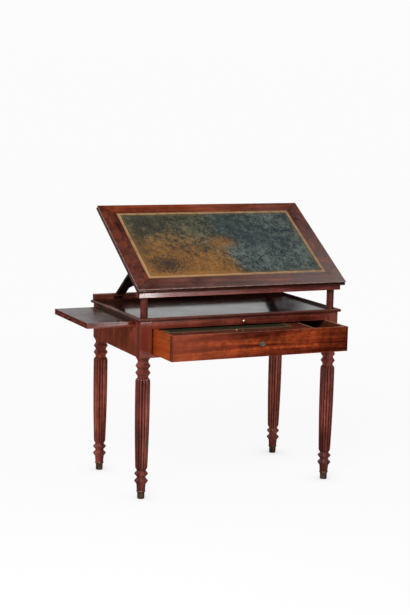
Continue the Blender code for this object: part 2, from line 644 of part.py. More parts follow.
# Lock: plate on the front, case behind it, and the bolt that rises behind the rail above
plate = []
for i in range(KNOB_SEGMENTS):
    angle = 2 * math.pi * i / KNOB_SEGMENTS
    plate.append((PLATE_W / 2 * math.cos(angle), KEYHOLE_Z + PLATE_H / 2 * math.sin(angle)))
prism("escutcheon", plate, "Y", -CASE_Y - SEAT - PLATE_THICK, -CASE_Y - SEAT, BRONZE, drawer)
lock_y0, lock_y1 = side_y0, side_y0 + LOCK_D
bolt_mid = (lock_y0 + lock_y1) / 2
lock_top = DRAWER_HIGH - LOCK_TOP_DROP
lock_case = box("lock_case", (-LOCK_W / 2, lock_y0, KEYHOLE_Z - LOCK_LOW), (LOCK_W / 2, lock_y1, lock_top),
                IRON, drawer)
bolt_low = DRAWER_HIGH - BOLT_H
cut(lock_case, box_mesh((-BOLT_W / 2 - SEAT, bolt_mid - BOLT_D / 2 - SEAT, bolt_low - SEAT),
                        (BOLT_W / 2 + SEAT, bolt_mid + BOLT_D / 2 + SEAT, DRAWER_HIGH + OVERRUN)))
bolt = place("bolt", (0, bolt_mid, bolt_low), drawer)
box("lock_bolt", (-BOLT_W / 2, -BOLT_D / 2, 0), (BOLT_W / 2, BOLT_D / 2, BOLT_H), IRON, bolt)


def knob_stations(radius, out, start):
    """A turned knob: short neck from start, then a round head that ends at out."""
    middle = out - KNOB_HEAD
    rows = [(start, KNOB_NECK_R, 0), (middle - KNOB_HEAD, KNOB_NECK_R, 0)]
    for degrees in (-40, -10, 20, 50, 75):
        angle = math.radians(degrees)
        rows.append((middle + KNOB_HEAD * math.sin(angle), radius * math.cos(angle), 0))
    rows.append((out, KNOB_TIP_R, 0))
    return rows


# Leathered writing panel that slides in the drawer
panel_y0 = front_back + LOCK_D + PANEL_SETBACK
panel_x0, panel_x1 = -inner_x + RUN, part_left - RUN
panel = place("writing_panel", (0, 0, 0), drawer)
box("writing_panel_board", (panel_x0, panel_y0, panel_high - PANEL_THICK),
    (panel_x1, panel_y0 + PANEL_DEPTH, panel_high), MAHOGANY, panel)
box("writing_panel_leather", (panel_x0 + PANEL_LEFT_BORDER, panel_y0 + PANEL_BORDER, panel_high + SEAT),
    (panel_x1 - PANEL_BORDER, panel_y0 + PANEL_DEPTH - PANEL_BACK_BORDER, panel_high + SEAT + LEATHER),
    LEATHER_GREEN, panel)
panel_knob_y = panel_y0 + PANEL_KNOB_SET
button = [(SEAT, SMALL_NECK_R, 0), (SMALL_NECK_H, SMALL_NECK_R, 0),
          (SMALL_NECK_H + SMALL_ROUND, SMALL_KNOB_R, 0), (SMALL_KNOB_H - SMALL_ROUND, SMALL_KNOB_R, 0),
          (SMALL_KNOB_H, SMALL_KNOB_R - SMALL_ROUND, 0)]
add("writing_panel_knob", turned_mesh(button, KNOB_SEGMENTS, (PANEL_KNOB_X, panel_knob_y, panel_high)),
    BRASS, panel)

# Side slides with tongues along their inner stretch, and a knob on each outer edge
for side, sx, out in (("left", -1, SLIDE_OUT), ("right", 1, 0.0)):
    slide = place(f"{side}_slide", (sx * out, 0, 0), table)
    edge, end = CASE_X, CASE_X - SLIDE_LEN
    stop = end + TONGUE_LEN
    wide = SLIDE_HALF + TONGUE
    board = box(f"{side}_slide_board", (min(sx * edge, sx * end), -SLIDE_HALF, SLIDE_LOW),
                (max(sx * edge, sx * end), SLIDE_HALF, SLIDE_TOP), MAHOGANY, slide)
    combine(board, box_mesh((min(sx * stop, sx * (end + RUN)), -wide, groove_mid - TONGUE_H / 2),
                            (max(sx * stop, sx * (end + RUN)), wide, groove_mid + TONGUE_H / 2)), "UNION")
    add(f"{side}_slide_knob",
        turned_mesh(knob_stations(KNOB_R, KNOB_OUT, SEAT), KNOB_SEGMENTS, (sx * edge, 0, groove_mid),
                    Vector((sx, 0, 0))), BRASS, slide)

# Release: a push knob whose bar bears on both posts
release = place("release", (0, 0, 0), table)
stem_end = BAR_FRONT - SEAT
rows = [(-z, r, d) for z, r, d in reversed(knob_stations(KNOB_R, RELEASE_OUT, KNOB_OUT - KNOB_R))]
rows[-1] = (rows[-1][0], STEM_R, 0)
rows.append((stem_end + CASE_Y, STEM_R, 0))
add("release_knob", turned_mesh(rows, KNOB_SEGMENTS, (0, -CASE_Y, KNOB_Z), Vector((0, 1, 0))), BRASS, release)
bar_x = LEG_X + BAR_PAST_POST
box("release_bar", (-bar_x, BAR_FRONT, KNOB_Z - BAR_H / 2), (bar_x, BAR_FRONT + BAR_THICK, KNOB_Z + BAR_H / 2),
    IRON, release)
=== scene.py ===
"""Looks of a mahogany writing table with a rising leather slope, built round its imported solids."""
import json
import math

import bmesh
import bpy
from mathutils import Matrix, Vector

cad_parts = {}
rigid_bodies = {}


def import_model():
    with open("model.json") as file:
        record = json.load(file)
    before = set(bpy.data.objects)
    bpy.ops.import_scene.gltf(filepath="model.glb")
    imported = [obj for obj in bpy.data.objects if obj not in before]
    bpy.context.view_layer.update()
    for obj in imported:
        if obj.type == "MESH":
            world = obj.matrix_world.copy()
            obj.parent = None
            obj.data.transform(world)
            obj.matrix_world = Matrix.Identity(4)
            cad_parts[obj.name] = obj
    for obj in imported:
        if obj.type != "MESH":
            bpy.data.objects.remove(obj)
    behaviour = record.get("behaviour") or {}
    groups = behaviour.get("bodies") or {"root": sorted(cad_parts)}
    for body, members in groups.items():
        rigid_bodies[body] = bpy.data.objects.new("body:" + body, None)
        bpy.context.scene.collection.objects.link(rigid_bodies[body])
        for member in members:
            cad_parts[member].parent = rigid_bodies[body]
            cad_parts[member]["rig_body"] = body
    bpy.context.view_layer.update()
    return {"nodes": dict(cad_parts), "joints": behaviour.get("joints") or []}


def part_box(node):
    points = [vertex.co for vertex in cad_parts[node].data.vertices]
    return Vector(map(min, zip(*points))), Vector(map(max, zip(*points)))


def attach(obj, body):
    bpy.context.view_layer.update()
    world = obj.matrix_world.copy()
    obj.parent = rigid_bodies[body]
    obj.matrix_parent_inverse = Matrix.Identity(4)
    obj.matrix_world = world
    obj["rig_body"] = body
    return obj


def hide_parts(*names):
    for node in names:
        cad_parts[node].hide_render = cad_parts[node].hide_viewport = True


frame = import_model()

# Legs. Each is one length of mahogany: a square block left at the top, below it a shaft turned with
# sharp rings and then reeded along its length with a scratch tool. The case rails are tenoned into the
# block, and the front blocks are bored for the posts of the lift.


def step(tree, kind, sockets=(), **settings):
    """One shader node, with its sockets set or linked."""
    made = tree.nodes.new("ShaderNode" + kind)
    for name, value in settings.items():
        setattr(made, name, value)
    for name, value in dict(sockets).items():
        if isinstance(value, bpy.types.NodeSocket):
            tree.links.new(value, made.inputs[name])
        else:
            made.inputs[name].default_value = value
    return made


def calc(tree, operation, first, second=0.0):
    """One sum on two values."""
    return step(tree, "Math", {0: first, 1: second}, operation=operation).outputs[0]


def within(tree, value, low, high, to_low=0.0, to_high=1.0):
    """Carries a value from one range to another, smoothly and held at both ends."""
    made = step(tree, "MapRange", {"Value": value, "From Min": low, "From Max": high,
                                   "To Min": to_low, "To Max": to_high}, interpolation_type="SMOOTHSTEP")
    return made.outputs["Result"]


def mixed(tree, share, first, second, mode="MIX"):
    """Two colours mixed. The colour sockets of the node are its seventh and eighth."""
    made = step(tree, "Mix", {0: share, 6: first, 7: second}, data_type="RGBA", blend_type=mode)
    return made.outputs[2]


def noise(tree, place, scale, detail=2.0, roughness=0.5, distortion=0.0):
    """A cloudy value between 0 and 1."""
    return step(tree, "TexNoise", {"Vector": place, "Scale": scale, "Detail": detail, "Roughness": roughness,
                                   "Distortion": distortion}).outputs["Fac"]


def ramp(tree, share, stops):
    """A run of colours, each at its place between 0 and 1."""
    made = step(tree, "ValToRGB", {"Fac": share})
    elements = made.color_ramp.elements
    elements.remove(elements[1])
    elements[0].position, elements[0].color = stops[0]
    for place, colour in stops[1:]:
        elements.new(place).color = colour
    return made.outputs["Color"]


def tone(red, green, blue):
    """A colour as the eye names it, 0 to 255, in the linear values that a shader takes."""
    shares = [level / 255 for level in (red, green, blue)]
    return (*[((s + 0.055) / 1.055) ** 2.4 if s > 0.04 else s / 12.92 for s in shares], 1.0)


def new_finish(name):
    """A new material, with its tree and its shader."""
    finish = bpy.data.materials.new(name)
    finish.use_nodes = True
    return finish, finish.node_tree, finish.node_tree.nodes["Principled BSDF"]


def embossed(tree, shader, height, strength, deep):
    """Lets the light catch a height on the surface."""
    relief = step(tree, "Bump", {"Height": height, "Strength": strength, "Distance": deep})
    tree.links.new(relief.outputs[0], shader.inputs["Normal"])


GRAIN = {"X": (0.055, 1.0, 1.0), "Y": (1.0, 0.055, 1.0), "Z": (1.0, 1.0, 0.055)}
CLOUD_SCALE, FIGURE_SCALE, RUB_SCALE, PORE_SCALE = 7.0, 42.0, 55.0, 700.0
PORE_SHARE, PORE_DULL, PORE_DEEP = 0.55, 0.12, 0.0003
CREASE_SHADE_SHARE, POLISH_ROUGH = 0.85, 0.09


def mahogany(name, grain, dark, middle, light, swirl=0.6, band=46.0, gloss=0.26, polish=0.0, shine=0.25,
             rubbed=tone(150, 84, 58), mottle=0.2):
    """Polished mahogany: bands of colour along the grain, mottle, open pores, painted shade in creases, and
    arrises made paler by wear and by a painted highlight.
    """
    finish, tree, shader = new_finish(name)
    place = step(tree, "TexCoord").outputs["Object"]
    drawn = step(tree, "Mapping", {"Vector": place, "Scale": GRAIN[grain]}).outputs[0]
    bands = noise(tree, drawn, band, 6.0, 0.62, swirl)
    colour = ramp(tree, bands, [(0.34, dark), (0.50, middle), (0.66, light)])
    cloud = noise(tree, place, CLOUD_SCALE, 3.0)
    figure = noise(tree, place, FIGURE_SCALE, 5.0, 0.65)
    shade = calc(tree, "MULTIPLY", within(tree, cloud, 0.3, 0.7, 0.70, 1.24),
                 within(tree, figure, 0.3, 0.7, 1 - mottle, 1 + mottle))
    shade = step(tree, "CombineColor", {0: shade, 1: shade, 2: shade}).outputs[0]
    colour = mixed(tree, 1.0, colour, shade, "MULTIPLY")
    open_pore = within(tree, noise(tree, drawn, PORE_SCALE), 0.58, 0.70)
    colour = mixed(tree, calc(tree, "MULTIPLY", open_pore, PORE_SHARE), colour, tone(34, 12, 8))
    # Painted shade: darker where a shape is marked as a crease, between the reeds and under the slope's lip.
    crease_shade = step(tree, "Attribute", attribute_name="crease_shade").outputs["Fac"]
    colour = mixed(tree, within(tree, crease_shade, 0.45, 1.0, 0.0, CREASE_SHADE_SHARE), colour, tone(34, 12, 9))
    # The marked arrises are paler: partly wear, partly a painted highlight along the edges.
    worn = step(tree, "Attribute", attribute_name="arris").outputs["Fac"]
    rub = noise(tree, place, RUB_SCALE, 3.0)
    worn = calc(tree, "MULTIPLY", worn, within(tree, rub, 0.38, 0.62, 0.30, 0.75))
    tree.links.new(mixed(tree, worn, colour, rubbed), shader.inputs["Base Color"])
    dull = calc(tree, "ADD", within(tree, cloud, 0.25, 0.75, gloss - 0.05, gloss + 0.08),
                calc(tree, "MULTIPLY", open_pore, PORE_DULL))
    tree.links.new(dull, shader.inputs["Roughness"])
    shader.inputs["Specular IOR Level"].default_value = shine
    shader.inputs["Coat Weight"].default_value = polish
    shader.inputs["Coat Roughness"].default_value = POLISH_ROUGH
    embossed(tree, shader, calc(tree, "SUBTRACT", 1.0, open_pore), 0.25, PORE_DEEP)
    return finish


SMOOTH_BELOW = math.radians(21)


def fit(name, shape, finish, *nodes):
    """Closes a shape into a piece that stands for its nodes and moves with them."""
    bmesh.ops.recalc_face_normals(shape, faces=shape.faces)
    data = bpy.data.meshes.new(name)
    shape.to_mesh(data)
    shape.free()
    data.materials.append(finish)
    data.shade_smooth()
    data.set_sharp_from_angle(angle=SMOOTH_BELOW)
    piece = bpy.data.objects.new(name, data)
    bpy.context.scene.collection.objects.link(piece)
    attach(piece, frame["nodes"][nodes[0]]["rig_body"])
    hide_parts(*nodes)


TURNED_SIDES = 56
WELD = 1e-6


def turned(shape, profile, place, sides=TURNED_SIDES):
    """Spins a profile of (radius, height) about the up axis, then carries it to its place."""
    before = set(shape.verts)
    points = [shape.verts.new((radius, 0.0, height)) for radius, height in profile]
    lines = [shape.edges.new(pair) for pair in zip(points, points[1:])]
    bmesh.ops.spin(shape, geom=points + lines, cent=(0, 0, 0), axis=(0, 0, 1), angle=2 * math.pi,
                   steps=sides, use_merge=True)
    made = [v for v in shape.verts if v not in before]
    bmesh.ops.remove_doubles(shape, verts=made, dist=WELD)
    made = [v for v in shape.verts if v not in before]
    bmesh.ops.transform(shape, matrix=place, verts=made)


FLAT_WITHIN = math.radians(1)


def merged_copy(node):
    """The node's own faces, joined up and with its flat sides whole."""
    shape = bmesh.new()
    shape.from_mesh(frame["nodes"][node].data)
    bmesh.ops.remove_doubles(shape, verts=shape.verts, dist=WELD)
    bmesh.ops.dissolve_limit(shape, angle_limit=FLAT_WITHIN, verts=shape.verts, edges=shape.edges)
    for mark in ("arris", "upper"):
        shape.faces.layers.float.new(mark)
    shape.verts.layers.float.new("crease_shade")
    return shape


ARRIS_CUTS = 2


def ease(shape, width, edges):
    """Takes the sharpness off edges, and marks the new faces as arrises, made paler for wear and as a painted
    highlight.
    """
    made = bmesh.ops.bevel(shape, geom=edges, offset=width, affect="EDGES", segments=ARRIS_CUTS, profile=0.5,
                           material=-1, clamp_overlap=True)
    arris = shape.faces.layers.float["arris"]
    for face in made["faces"]:
        face[arris] = 1.0


BLOCK_EDGE, SQUARE_LEAST = 0.045, 1.0
BLOCK_ARRIS, BLOCK_RED = 0.0008, 0.5
REEDS = 14
REED_POINTS = 9
REED_DEPTH = 0.0052
SHAFT_FOOT, SHAFT_TOP = 0.1285, 0.4765
SHAFT_FOOT_R, SHAFT_TOP_R = 0.0245, 0.0296
SHAFT_SWELL = 0.0018
SHAFT_ROUND, FOOT_CURVE = 0.0140, 1.4
SHAFT_STEPS = 20
ROUND_STEPS = 6
UPPER_RINGS, UPPER_NECK_R, UPPER_RING_R = (0.5120, 0.5406), 0.0218, 0.0296
LOWER_RINGS, LOWER_NECK_R, LOWER_RING_R = (0.0728, 0.1022), 0.0174, 0.0275
RING_HALF, RING_TIP = 0.0128, 0.0007
SHOULDER_R = 0.0285
FOOT_R, ANKLE_R = 0.0168, 0.0186
FOOT_SHADE_TOP, FOOT_SHADE_SHARE = 0.24, 0.35
TOUCH = 1e-7


def cut_off(shape, place, away):
    """Saws off what lies past a plane, and closes the cut."""
    bmesh.ops.bisect_plane(shape, geom=shape.verts[:] + shape.edges[:] + shape.faces[:], dist=TOUCH,
                           plane_co=place, plane_no=away, clear_outer=True)
    bmesh.ops.holes_fill(shape, edges=[e for e in shape.edges if e.is_boundary])


def spot_along(tree, axis):
    """Where a spot of a piece is along one axis."""
    return step(tree, "SeparateXYZ", {"Vector": step(tree, "TexCoord").outputs["Object"]}).outputs[axis]


def tinted(finish, share, colour):
    """Mixes a colour over what a finish already shows."""
    tree = finish.node_tree
    base = tree.nodes["Principled BSDF"].inputs["Base Color"]
    tree.links.new(mixed(tree, share, base.links[0].from_socket, colour), base)


# The back legs take lighter tones than the front ones: painted light, standing in for the fill that reaches
# them.
leg_lit_tones = {"front": (tone(90, 40, 31), tone(132, 61, 49), tone(166, 87, 71)),
             "back": (tone(107, 46, 34), tone(157, 72, 55), tone(191, 100, 79))}
leg_wood = {}
case_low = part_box("front_bottom_rail")[0].z
for end, tones in leg_lit_tones.items():
    leg_wood[end] = mahogany(f"{end}_leg_mahogany", "Z", *tones, swirl=0.4, gloss=0.2, shine=0.5)
    tree = leg_wood[end].node_tree
    height = spot_along(tree, "Z")
    # Painted shade: each leg is darkened towards its foot.
    painted_foot_shade = within(tree, height, FOOT_SHADE_TOP / 2, FOOT_SHADE_TOP, FOOT_SHADE_SHARE, 0.0)
    tinted(leg_wood[end], painted_foot_shade, tone(64, 34, 30))
    squared = within(tree, height, case_low - BLOCK_ARRIS, case_low + BLOCK_ARRIS, 0.0, BLOCK_RED)
    tinted(leg_wood[end], squared, tone(116, 46, 28))


def shaft_radius(height):
    """The tapered, slightly swelling shaft's radius at a height."""
    share = (height - SHAFT_FOOT) / (SHAFT_TOP - SHAFT_FOOT)
    return SHAFT_FOOT_R + (SHAFT_TOP_R - SHAFT_FOOT_R) * share + SHAFT_SWELL * math.sin(math.pi * share)


def shaft_stations():
    """Heights and radii up the shaft, drawn in at both ends where each reed is rounded off."""
    rows = []
    for i in range(ROUND_STEPS):
        left = 1 - i / ROUND_STEPS
        inset = (SHAFT_FOOT_R - LOWER_NECK_R) * left ** FOOT_CURVE
        rows.append((SHAFT_FOOT - SHAFT_ROUND * left, SHAFT_FOOT_R - inset))
    for i in range(SHAFT_STEPS + 1):
        height = SHAFT_FOOT + (SHAFT_TOP - SHAFT_FOOT) * i / SHAFT_STEPS
        rows.append((height, shaft_radius(height)))
    for i in range(1, ROUND_STEPS + 1):
        turn = math.pi / 2 * i / ROUND_STEPS
        inset = (SHAFT_TOP_R - UPPER_NECK_R) * (1 - math.cos(turn))
        rows.append((SHAFT_TOP + SHAFT_ROUND * math.sin(turn), SHAFT_TOP_R - inset))
    return rows


def reeded_shaft(shape, place):
    """One reed is drawn up the shaft from its half-round foot, then copied all round."""
    before = set(shape.verts)
    rows = shaft_stations()
    half = math.pi / REEDS
    foot = []
    crease_shade = shape.verts.layers.float["crease_shade"]
    for i in range(REED_POINTS):
        share = 2 * i / (REED_POINTS - 1) - 1
        radius = 1.0 - REED_DEPTH / SHAFT_TOP_R * (1 - math.sqrt(max(0.0, 1 - share * share)))
        angle = half * share
        foot.append(shape.verts.new((radius * math.cos(angle), radius * math.sin(angle), 0.0)))
        # Each reed is marked darker towards its edges: painted shade in the grooves between the reeds.
        foot[-1][crease_shade] = abs(share)
    edges = [shape.edges.new(pair) for pair in zip(foot, foot[1:])]
    bmesh.ops.transform(shape, verts=foot, matrix=Matrix.Translation((0, 0, rows[0][0]))
                        @ Matrix.Diagonal((rows[0][1], rows[0][1], 1, 1)))
    for (low, low_r), (high, high_r) in zip(rows, rows[1:]):
        grown = bmesh.ops.extrude_edge_only(shape, edges=edges)["geom"]
        points = [g for g in grown if isinstance(g, bmesh.types.BMVert)]
        edges = [g for g in grown if isinstance(g, bmesh.types.BMEdge)]
        bmesh.ops.transform(shape, verts=points, matrix=Matrix.Translation((0, 0, high - low))
                            @ Matrix.Diagonal((high_r / low_r, high_r / low_r, 1, 1)))
    reed = [v for v in shape.verts if v not in before]
    reed_faces = [f for f in shape.faces if f.verts[0] not in before]
    reed_edges = list({e for f in reed_faces for e in f.edges})
    bmesh.ops.spin(shape, geom=reed + reed_edges + reed_faces, cent=(0, 0, 0), axis=(0, 0, 1),
                   angle=2 * math.pi * (REEDS - 1) / REEDS, steps=REEDS - 1, use_duplicate=True)
    made = [v for v in shape.verts if v not in before]
    bmesh.ops.remove_doubles(shape, verts=made, dist=WELD)
    made = [v for v in shape.verts if v not in before]
    rims = [e for e in shape.edges if e.is_boundary and e.verts[0] not in before]
    bmesh.ops.holes_fill(shape, edges=rims)
    bmesh.ops.transform(shape, verts=made, matrix=place)


def rings(heights, neck, tip):
    """The profile of a run of sharp rings on a neck."""
    rows = []
    for height in heights:
        rows += [(neck, height - RING_HALF), (tip, height - RING_TIP), (tip, height + RING_TIP),
                 (neck, height + RING_HALF)]
    return rows


for end in ("front", "back"):
    for side in ("left", "right"):
        node = f"leg_{end}_{side}"
        low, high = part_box(node)
        centre = (low + high) / 2
        place = Matrix.Translation((centre.x, centre.y, 0.0))
        shape = merged_copy(node)
        cut_off(shape, (0, 0, case_low + BLOCK_ARRIS), (0, 0, -1))
        bmesh.ops.translate(shape, verts=[v for v in shape.verts if v.co.z < case_low + 2 * BLOCK_ARRIS],
                            vec=(0, 0, -BLOCK_ARRIS))
        outer = [e for e in shape.edges if e.is_manifold and e.calc_length() > BLOCK_EDGE
                 and e.calc_face_angle() > SQUARE_LEAST]
        ease(shape, BLOCK_ARRIS, outer)
        neck = [(0.0, SHAFT_TOP), (UPPER_NECK_R, SHAFT_TOP)] + rings(UPPER_RINGS, UPPER_NECK_R, UPPER_RING_R)
        neck += [(UPPER_NECK_R, case_low - RING_HALF), (SHOULDER_R, case_low - BLOCK_ARRIS),
                 (SHOULDER_R, case_low), (0.0, case_low)]
        turned(shape, neck, place)
        sabot_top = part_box(f"sabot_{end}_{side}")[1].z
        foot = [(0.0, sabot_top - BLOCK_ARRIS), (FOOT_R, sabot_top - BLOCK_ARRIS)]
        foot += [(ANKLE_R, LOWER_RINGS[0] - RING_HALF)] + rings(LOWER_RINGS, LOWER_NECK_R, LOWER_RING_R)[1:]
        foot += [(LOWER_NECK_R, SHAFT_FOOT), (0.0, SHAFT_FOOT)]
        turned(shape, foot, place)
        reeded_shaft(shape, place)
        fit(f"reeded_{node}", shape, leg_wood[end], node)

# Sabots. Each foot ends in a bronze cup, cast and then turned, straight below and rolled to a collar at its
# top. It is driven on to the leg's spigot, and has gone dark with age.
TARNISH_SCALE, FLECK_SCALE, FLECK_DEEP = 90.0, 810.0, 0.0002


def metal(name, colour, worn, roughness, tarnish, tarnish_share, solid=1.0):
    """Cast or turned metal with cloudy tarnish over it."""
    finish, tree, shader = new_finish(name)
    place = step(tree, "TexCoord").outputs["Object"]
    cloud = noise(tree, place, TARNISH_SCALE, 5.0, 0.6)
    fleck = noise(tree, place, FLECK_SCALE)
    dirty = calc(tree, "MULTIPLY", within(tree, cloud, 0.35, 0.65), tarnish_share)
    shown = mixed(tree, within(tree, fleck, 0.35, 0.75), colour, worn)
    tree.links.new(mixed(tree, dirty, shown, tarnish), shader.inputs["Base Color"])
    dull = within(tree, cloud, 0.2, 0.8, roughness - 0.06, roughness + 0.14)
    tree.links.new(dull, shader.inputs["Roughness"])
    shader.inputs["Metallic"].default_value = solid
    embossed(tree, shader, fleck, 0.12, FLECK_DEEP)
    return finish


SABOT_COLLAR, SABOT_LIP, CUP_INSET = 0.0074, 0.0010, 0.0033
COLLAR_SWELL, COLLAR_ROLL = 0.4 * SABOT_COLLAR, 0.7 * SABOT_COLLAR
bronze = metal("dark_bronze", tone(112, 84, 66), tone(146, 114, 86), 0.45, tone(58, 42, 34), 0.7, solid=0.6)
for end in ("front", "back"):
    for side in ("left", "right"):
        node = f"sabot_{end}_{side}"
        low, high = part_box(node)
        centre = (low + high) / 2
        collar_r = (high.x - low.x) / 2
        cup_r = collar_r - CUP_INSET
        neck_z = high.z - SABOT_COLLAR
        cup = [(0.0, 0.0), (cup_r - SABOT_LIP, 0.0), (cup_r - SABOT_LIP / 2, SABOT_LIP),
               (cup_r, neck_z - SABOT_LIP), (cup_r + SABOT_LIP / 2, neck_z),
               (collar_r, neck_z + COLLAR_SWELL), (collar_r, neck_z + COLLAR_ROLL),
               (collar_r - SABOT_LIP, high.z), (0.0, high.z)]
        shape = bmesh.new()
        turned(shape, cup, Matrix.Translation((centre.x, centre.y, 0.0)))
        fit(f"cast_{node}", shape, bronze, node)

# Case. Side aprons of figured mahogany veneer, a thin strip over each slide, and the rails at the back
# and front, all tenoned and glued between the leg blocks, their arrises rubbed by use.
BOARD_SHARP = math.radians(40)
UPPER_LEAST = 0.9


def eased(node, width, finish, prefix="polished"):
    """A board made from its node, with every sharp arris taken off and the faces that look up marked."""
    shape = merged_copy(node)
    ease(shape, width, [e for e in shape.edges if e.is_manifold and e.calc_face_angle() > BOARD_SHARP])
    shape.normal_update()
    upper = shape.faces.layers.float["upper"]
    for face in shape.faces:
        face[upper] = float(face.normal.z > UPPER_LEAST)
    fit(f"{prefix}_{node}", shape, finish, node)


RAIL_ARRIS = 0.0007
apron_wood = mahogany("apron_veneer", "Z", tone(124, 56, 34), tone(145, 66, 41), tone(162, 80, 51), swirl=3.5,
                      band=8.0, shine=0.12, mottle=0.12)
rail_wood = mahogany("rail_mahogany", "X", tone(92, 36, 24), tone(134, 56, 38), tone(164, 78, 52))
side_wood = mahogany("side_mahogany", "Y", tone(82, 34, 25), tone(118, 50, 36), tone(150, 70, 50))
for node in ("left_apron", "right_apron"):
    eased(node, RAIL_ARRIS, apron_wood)
for node in ("left_slide_strip", "right_slide_strip"):
    eased(node, RAIL_ARRIS, side_wood)
for node in ("back_rail", "front_top_rail", "front_bottom_rail"):
    eased(node, RAIL_ARRIS, rail_wood)

# Inner carcase. Oak runners with fences carry the drawer, and grooved oak guides carry the side slides.
# They are sawn and planed, never polished, and glued inside the rails.
OAK_SCALE, OAK_PORE_SCALE, GRIME_SCALE, OAK_PORE_DEEP = 85.0, 520.0, 14.0, 0.0004


def oak(name, grain, dark, light):
    """Planed oak: long open grain, fine pores and a little grime."""
    finish, tree, shader = new_finish(name)
    place = step(tree, "TexCoord").outputs["Object"]
    drawn = step(tree, "Mapping", {"Vector": place, "Scale": GRAIN[grain]}).outputs[0]
    bands = noise(tree, drawn, OAK_SCALE, 5.0, 0.5, 0.4)
    colour = ramp(tree, bands, [(0.32, dark), (0.66, light)])
    open_pore = within(tree, noise(tree, drawn, OAK_PORE_SCALE), 0.56, 0.70)
    colour = mixed(tree, calc(tree, "MULTIPLY", open_pore, 0.6), colour, tone(84, 44, 20))
    grime = noise(tree, place, GRIME_SCALE, 4.0)
    colour = mixed(tree, within(tree, grime, 0.52, 0.78, 0.0, 0.45), colour, tone(96, 56, 30))
    tree.links.new(colour, shader.inputs["Base Color"])
    tree.links.new(within(tree, grime, 0.3, 0.7, 0.5, 0.66), shader.inputs["Roughness"])
    shader.inputs["Specular IOR Level"].default_value = 0.15
    embossed(tree, shader, calc(tree, "SUBTRACT", 1.0, open_pore), 0.3, OAK_PORE_DEEP)
    return finish


OAK_ARRIS = 0.0005
oak_deep = oak("oak_runner", "Y", tone(128, 78, 40), tone(168, 108, 60))
oak_long = oak("oak_guide", "X", tone(128, 78, 40), tone(168, 108, 60))
for node in ("drawer_runner_left", "drawer_runner_right"):
    eased(node, OAK_ARRIS, oak_deep, "planed")
for node in ("slide_guide_front", "slide_guide_back"):
    eased(node, OAK_ARRIS, oak_long, "planed")

# Fixed top. A wide, thin panel of dark mahogany, polished until it mirrors what stands on it. It is let into
# the case inside the bead, and holed for the two posts.
top_wood = mahogany("top_mahogany", "X", tone(40, 20, 17), tone(58, 28, 22), tone(80, 40, 30), gloss=0.12,
                    polish=0.6, shine=0.5)
frame["nodes"]["top_panel"].data.materials[0] = top_wood

# Bead. A half-round mahogany moulding run round the top's edge, mitred at the corners and glued. It stands a
# little proud of the panel, so that papers don't slide off.
BEAD_WIDTH = 0.012
BEAD_STEPS = 14
bead_wood = mahogany("bead_mahogany", "X", tone(62, 25, 19), tone(92, 39, 29), tone(118, 57, 43), gloss=0.2)
low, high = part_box("top_bead")
middle = (low + high) / 2
reach = (high - low) / 2
shape = bmesh.new()
section = [shape.verts.new((-reach.x + BEAD_WIDTH, -reach.y + BEAD_WIDTH, low.z))]
radius = reach.z
for i in range(BEAD_STEPS + 1):
    turn = math.pi * i / BEAD_STEPS
    inset = radius * (1 - math.sin(turn))
    section.append(shape.verts.new((-reach.x + inset, -reach.y + inset, middle.z - radius * math.cos(turn))))
section.append(shape.verts.new((-reach.x + BEAD_WIDTH, -reach.y + BEAD_WIDTH, high.z)))
loop = [shape.edges.new(pair) for pair in zip(section, section[1:] + section[:1])]
for flat in ((0, 1, 1), (1, 0, 1)):
    grown = bmesh.ops.extrude_edge_only(shape, edges=loop)["geom"]
    bmesh.ops.scale(shape, vec=flat, verts=[g for g in grown if isinstance(g, bmesh.types.BMVert)])
for axis in ("X", "Y"):
    bmesh.ops.mirror(shape, geom=shape.verts[:] + shape.edges[:] + shape.faces[:], merge_dist=WELD, axis=axis)
bmesh.ops.remove_doubles(shape, verts=shape.verts, dist=WELD)
bmesh.ops.translate(shape, verts=shape.verts, vec=(middle.x, middle.y, 0))
fit("moulded_top_bead", shape, bead_wood, "top_bead")

# Rest rail. A square mahogany rail along the top's back edge, which the shut slope lies on and the prop is
# hinged to. It is screwed down from below, and its lower part is darkened as painted shade.
REST_ARRIS = 0.0012
RAIL_SHADE_FULL, RAIL_SHADE_END, RAIL_SHADE_SHARE = 0.3, 0.5, 0.75
rest_wood = mahogany("rest_mahogany", "X", tone(92, 45, 36), tone(132, 68, 54), tone(158, 90, 72))
low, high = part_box("rear_rest_rail")
tree = rest_wood.node_tree
heights = [low.z + share * (high.z - low.z) for share in (RAIL_SHADE_FULL, RAIL_SHADE_END)]
# Painted shade: the rail is darkened towards its bottom.
tinted(rest_wood, within(tree, spot_along(tree, "Z"), *heights, RAIL_SHADE_SHARE, 0.0), tone(34, 18, 14))
eased("rear_rest_rail", REST_ARRIS, rest_wood)

# Lift. Two round mahogany posts, turned and left duller, slide in the bored front legs. They carry a polished
# rail that the slope is hinged to.
post_wood = mahogany("post_mahogany", "Z", tone(56, 23, 19), tone(86, 37, 30), tone(114, 55, 45), swirl=0.3,
                     gloss=0.3, shine=0.2)
POST_CHAMFER = 0.0008
for side in ("left", "right"):
    node = f"post_{side}"
    low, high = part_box(node)
    centre = (low + high) / 2
    radius = (high.x - low.x) / 2
    shape = bmesh.new()
    turned(shape, [(0.0, low.z), (radius - POST_CHAMFER, low.z), (radius, low.z + POST_CHAMFER),
                   (radius, high.z), (0.0, high.z)], Matrix.Translation((centre.x, centre.y, 0.0)))
    fit(f"turned_{node}", shape, post_wood, node)
lift_wood = mahogany("lift_mahogany", "X", tone(84, 32, 27), tone(122, 50, 42), tone(150, 70, 60), gloss=0.2,
                     polish=0.7, shine=0.5)
LIFT_ARRIS, LIFT_ROUND, LIFT_LONG = 0.0009, 0.0018, 0.050
LIFT_SHARP = math.radians(60)
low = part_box("lift_rail")[0]
shape = merged_copy("lift_rail")
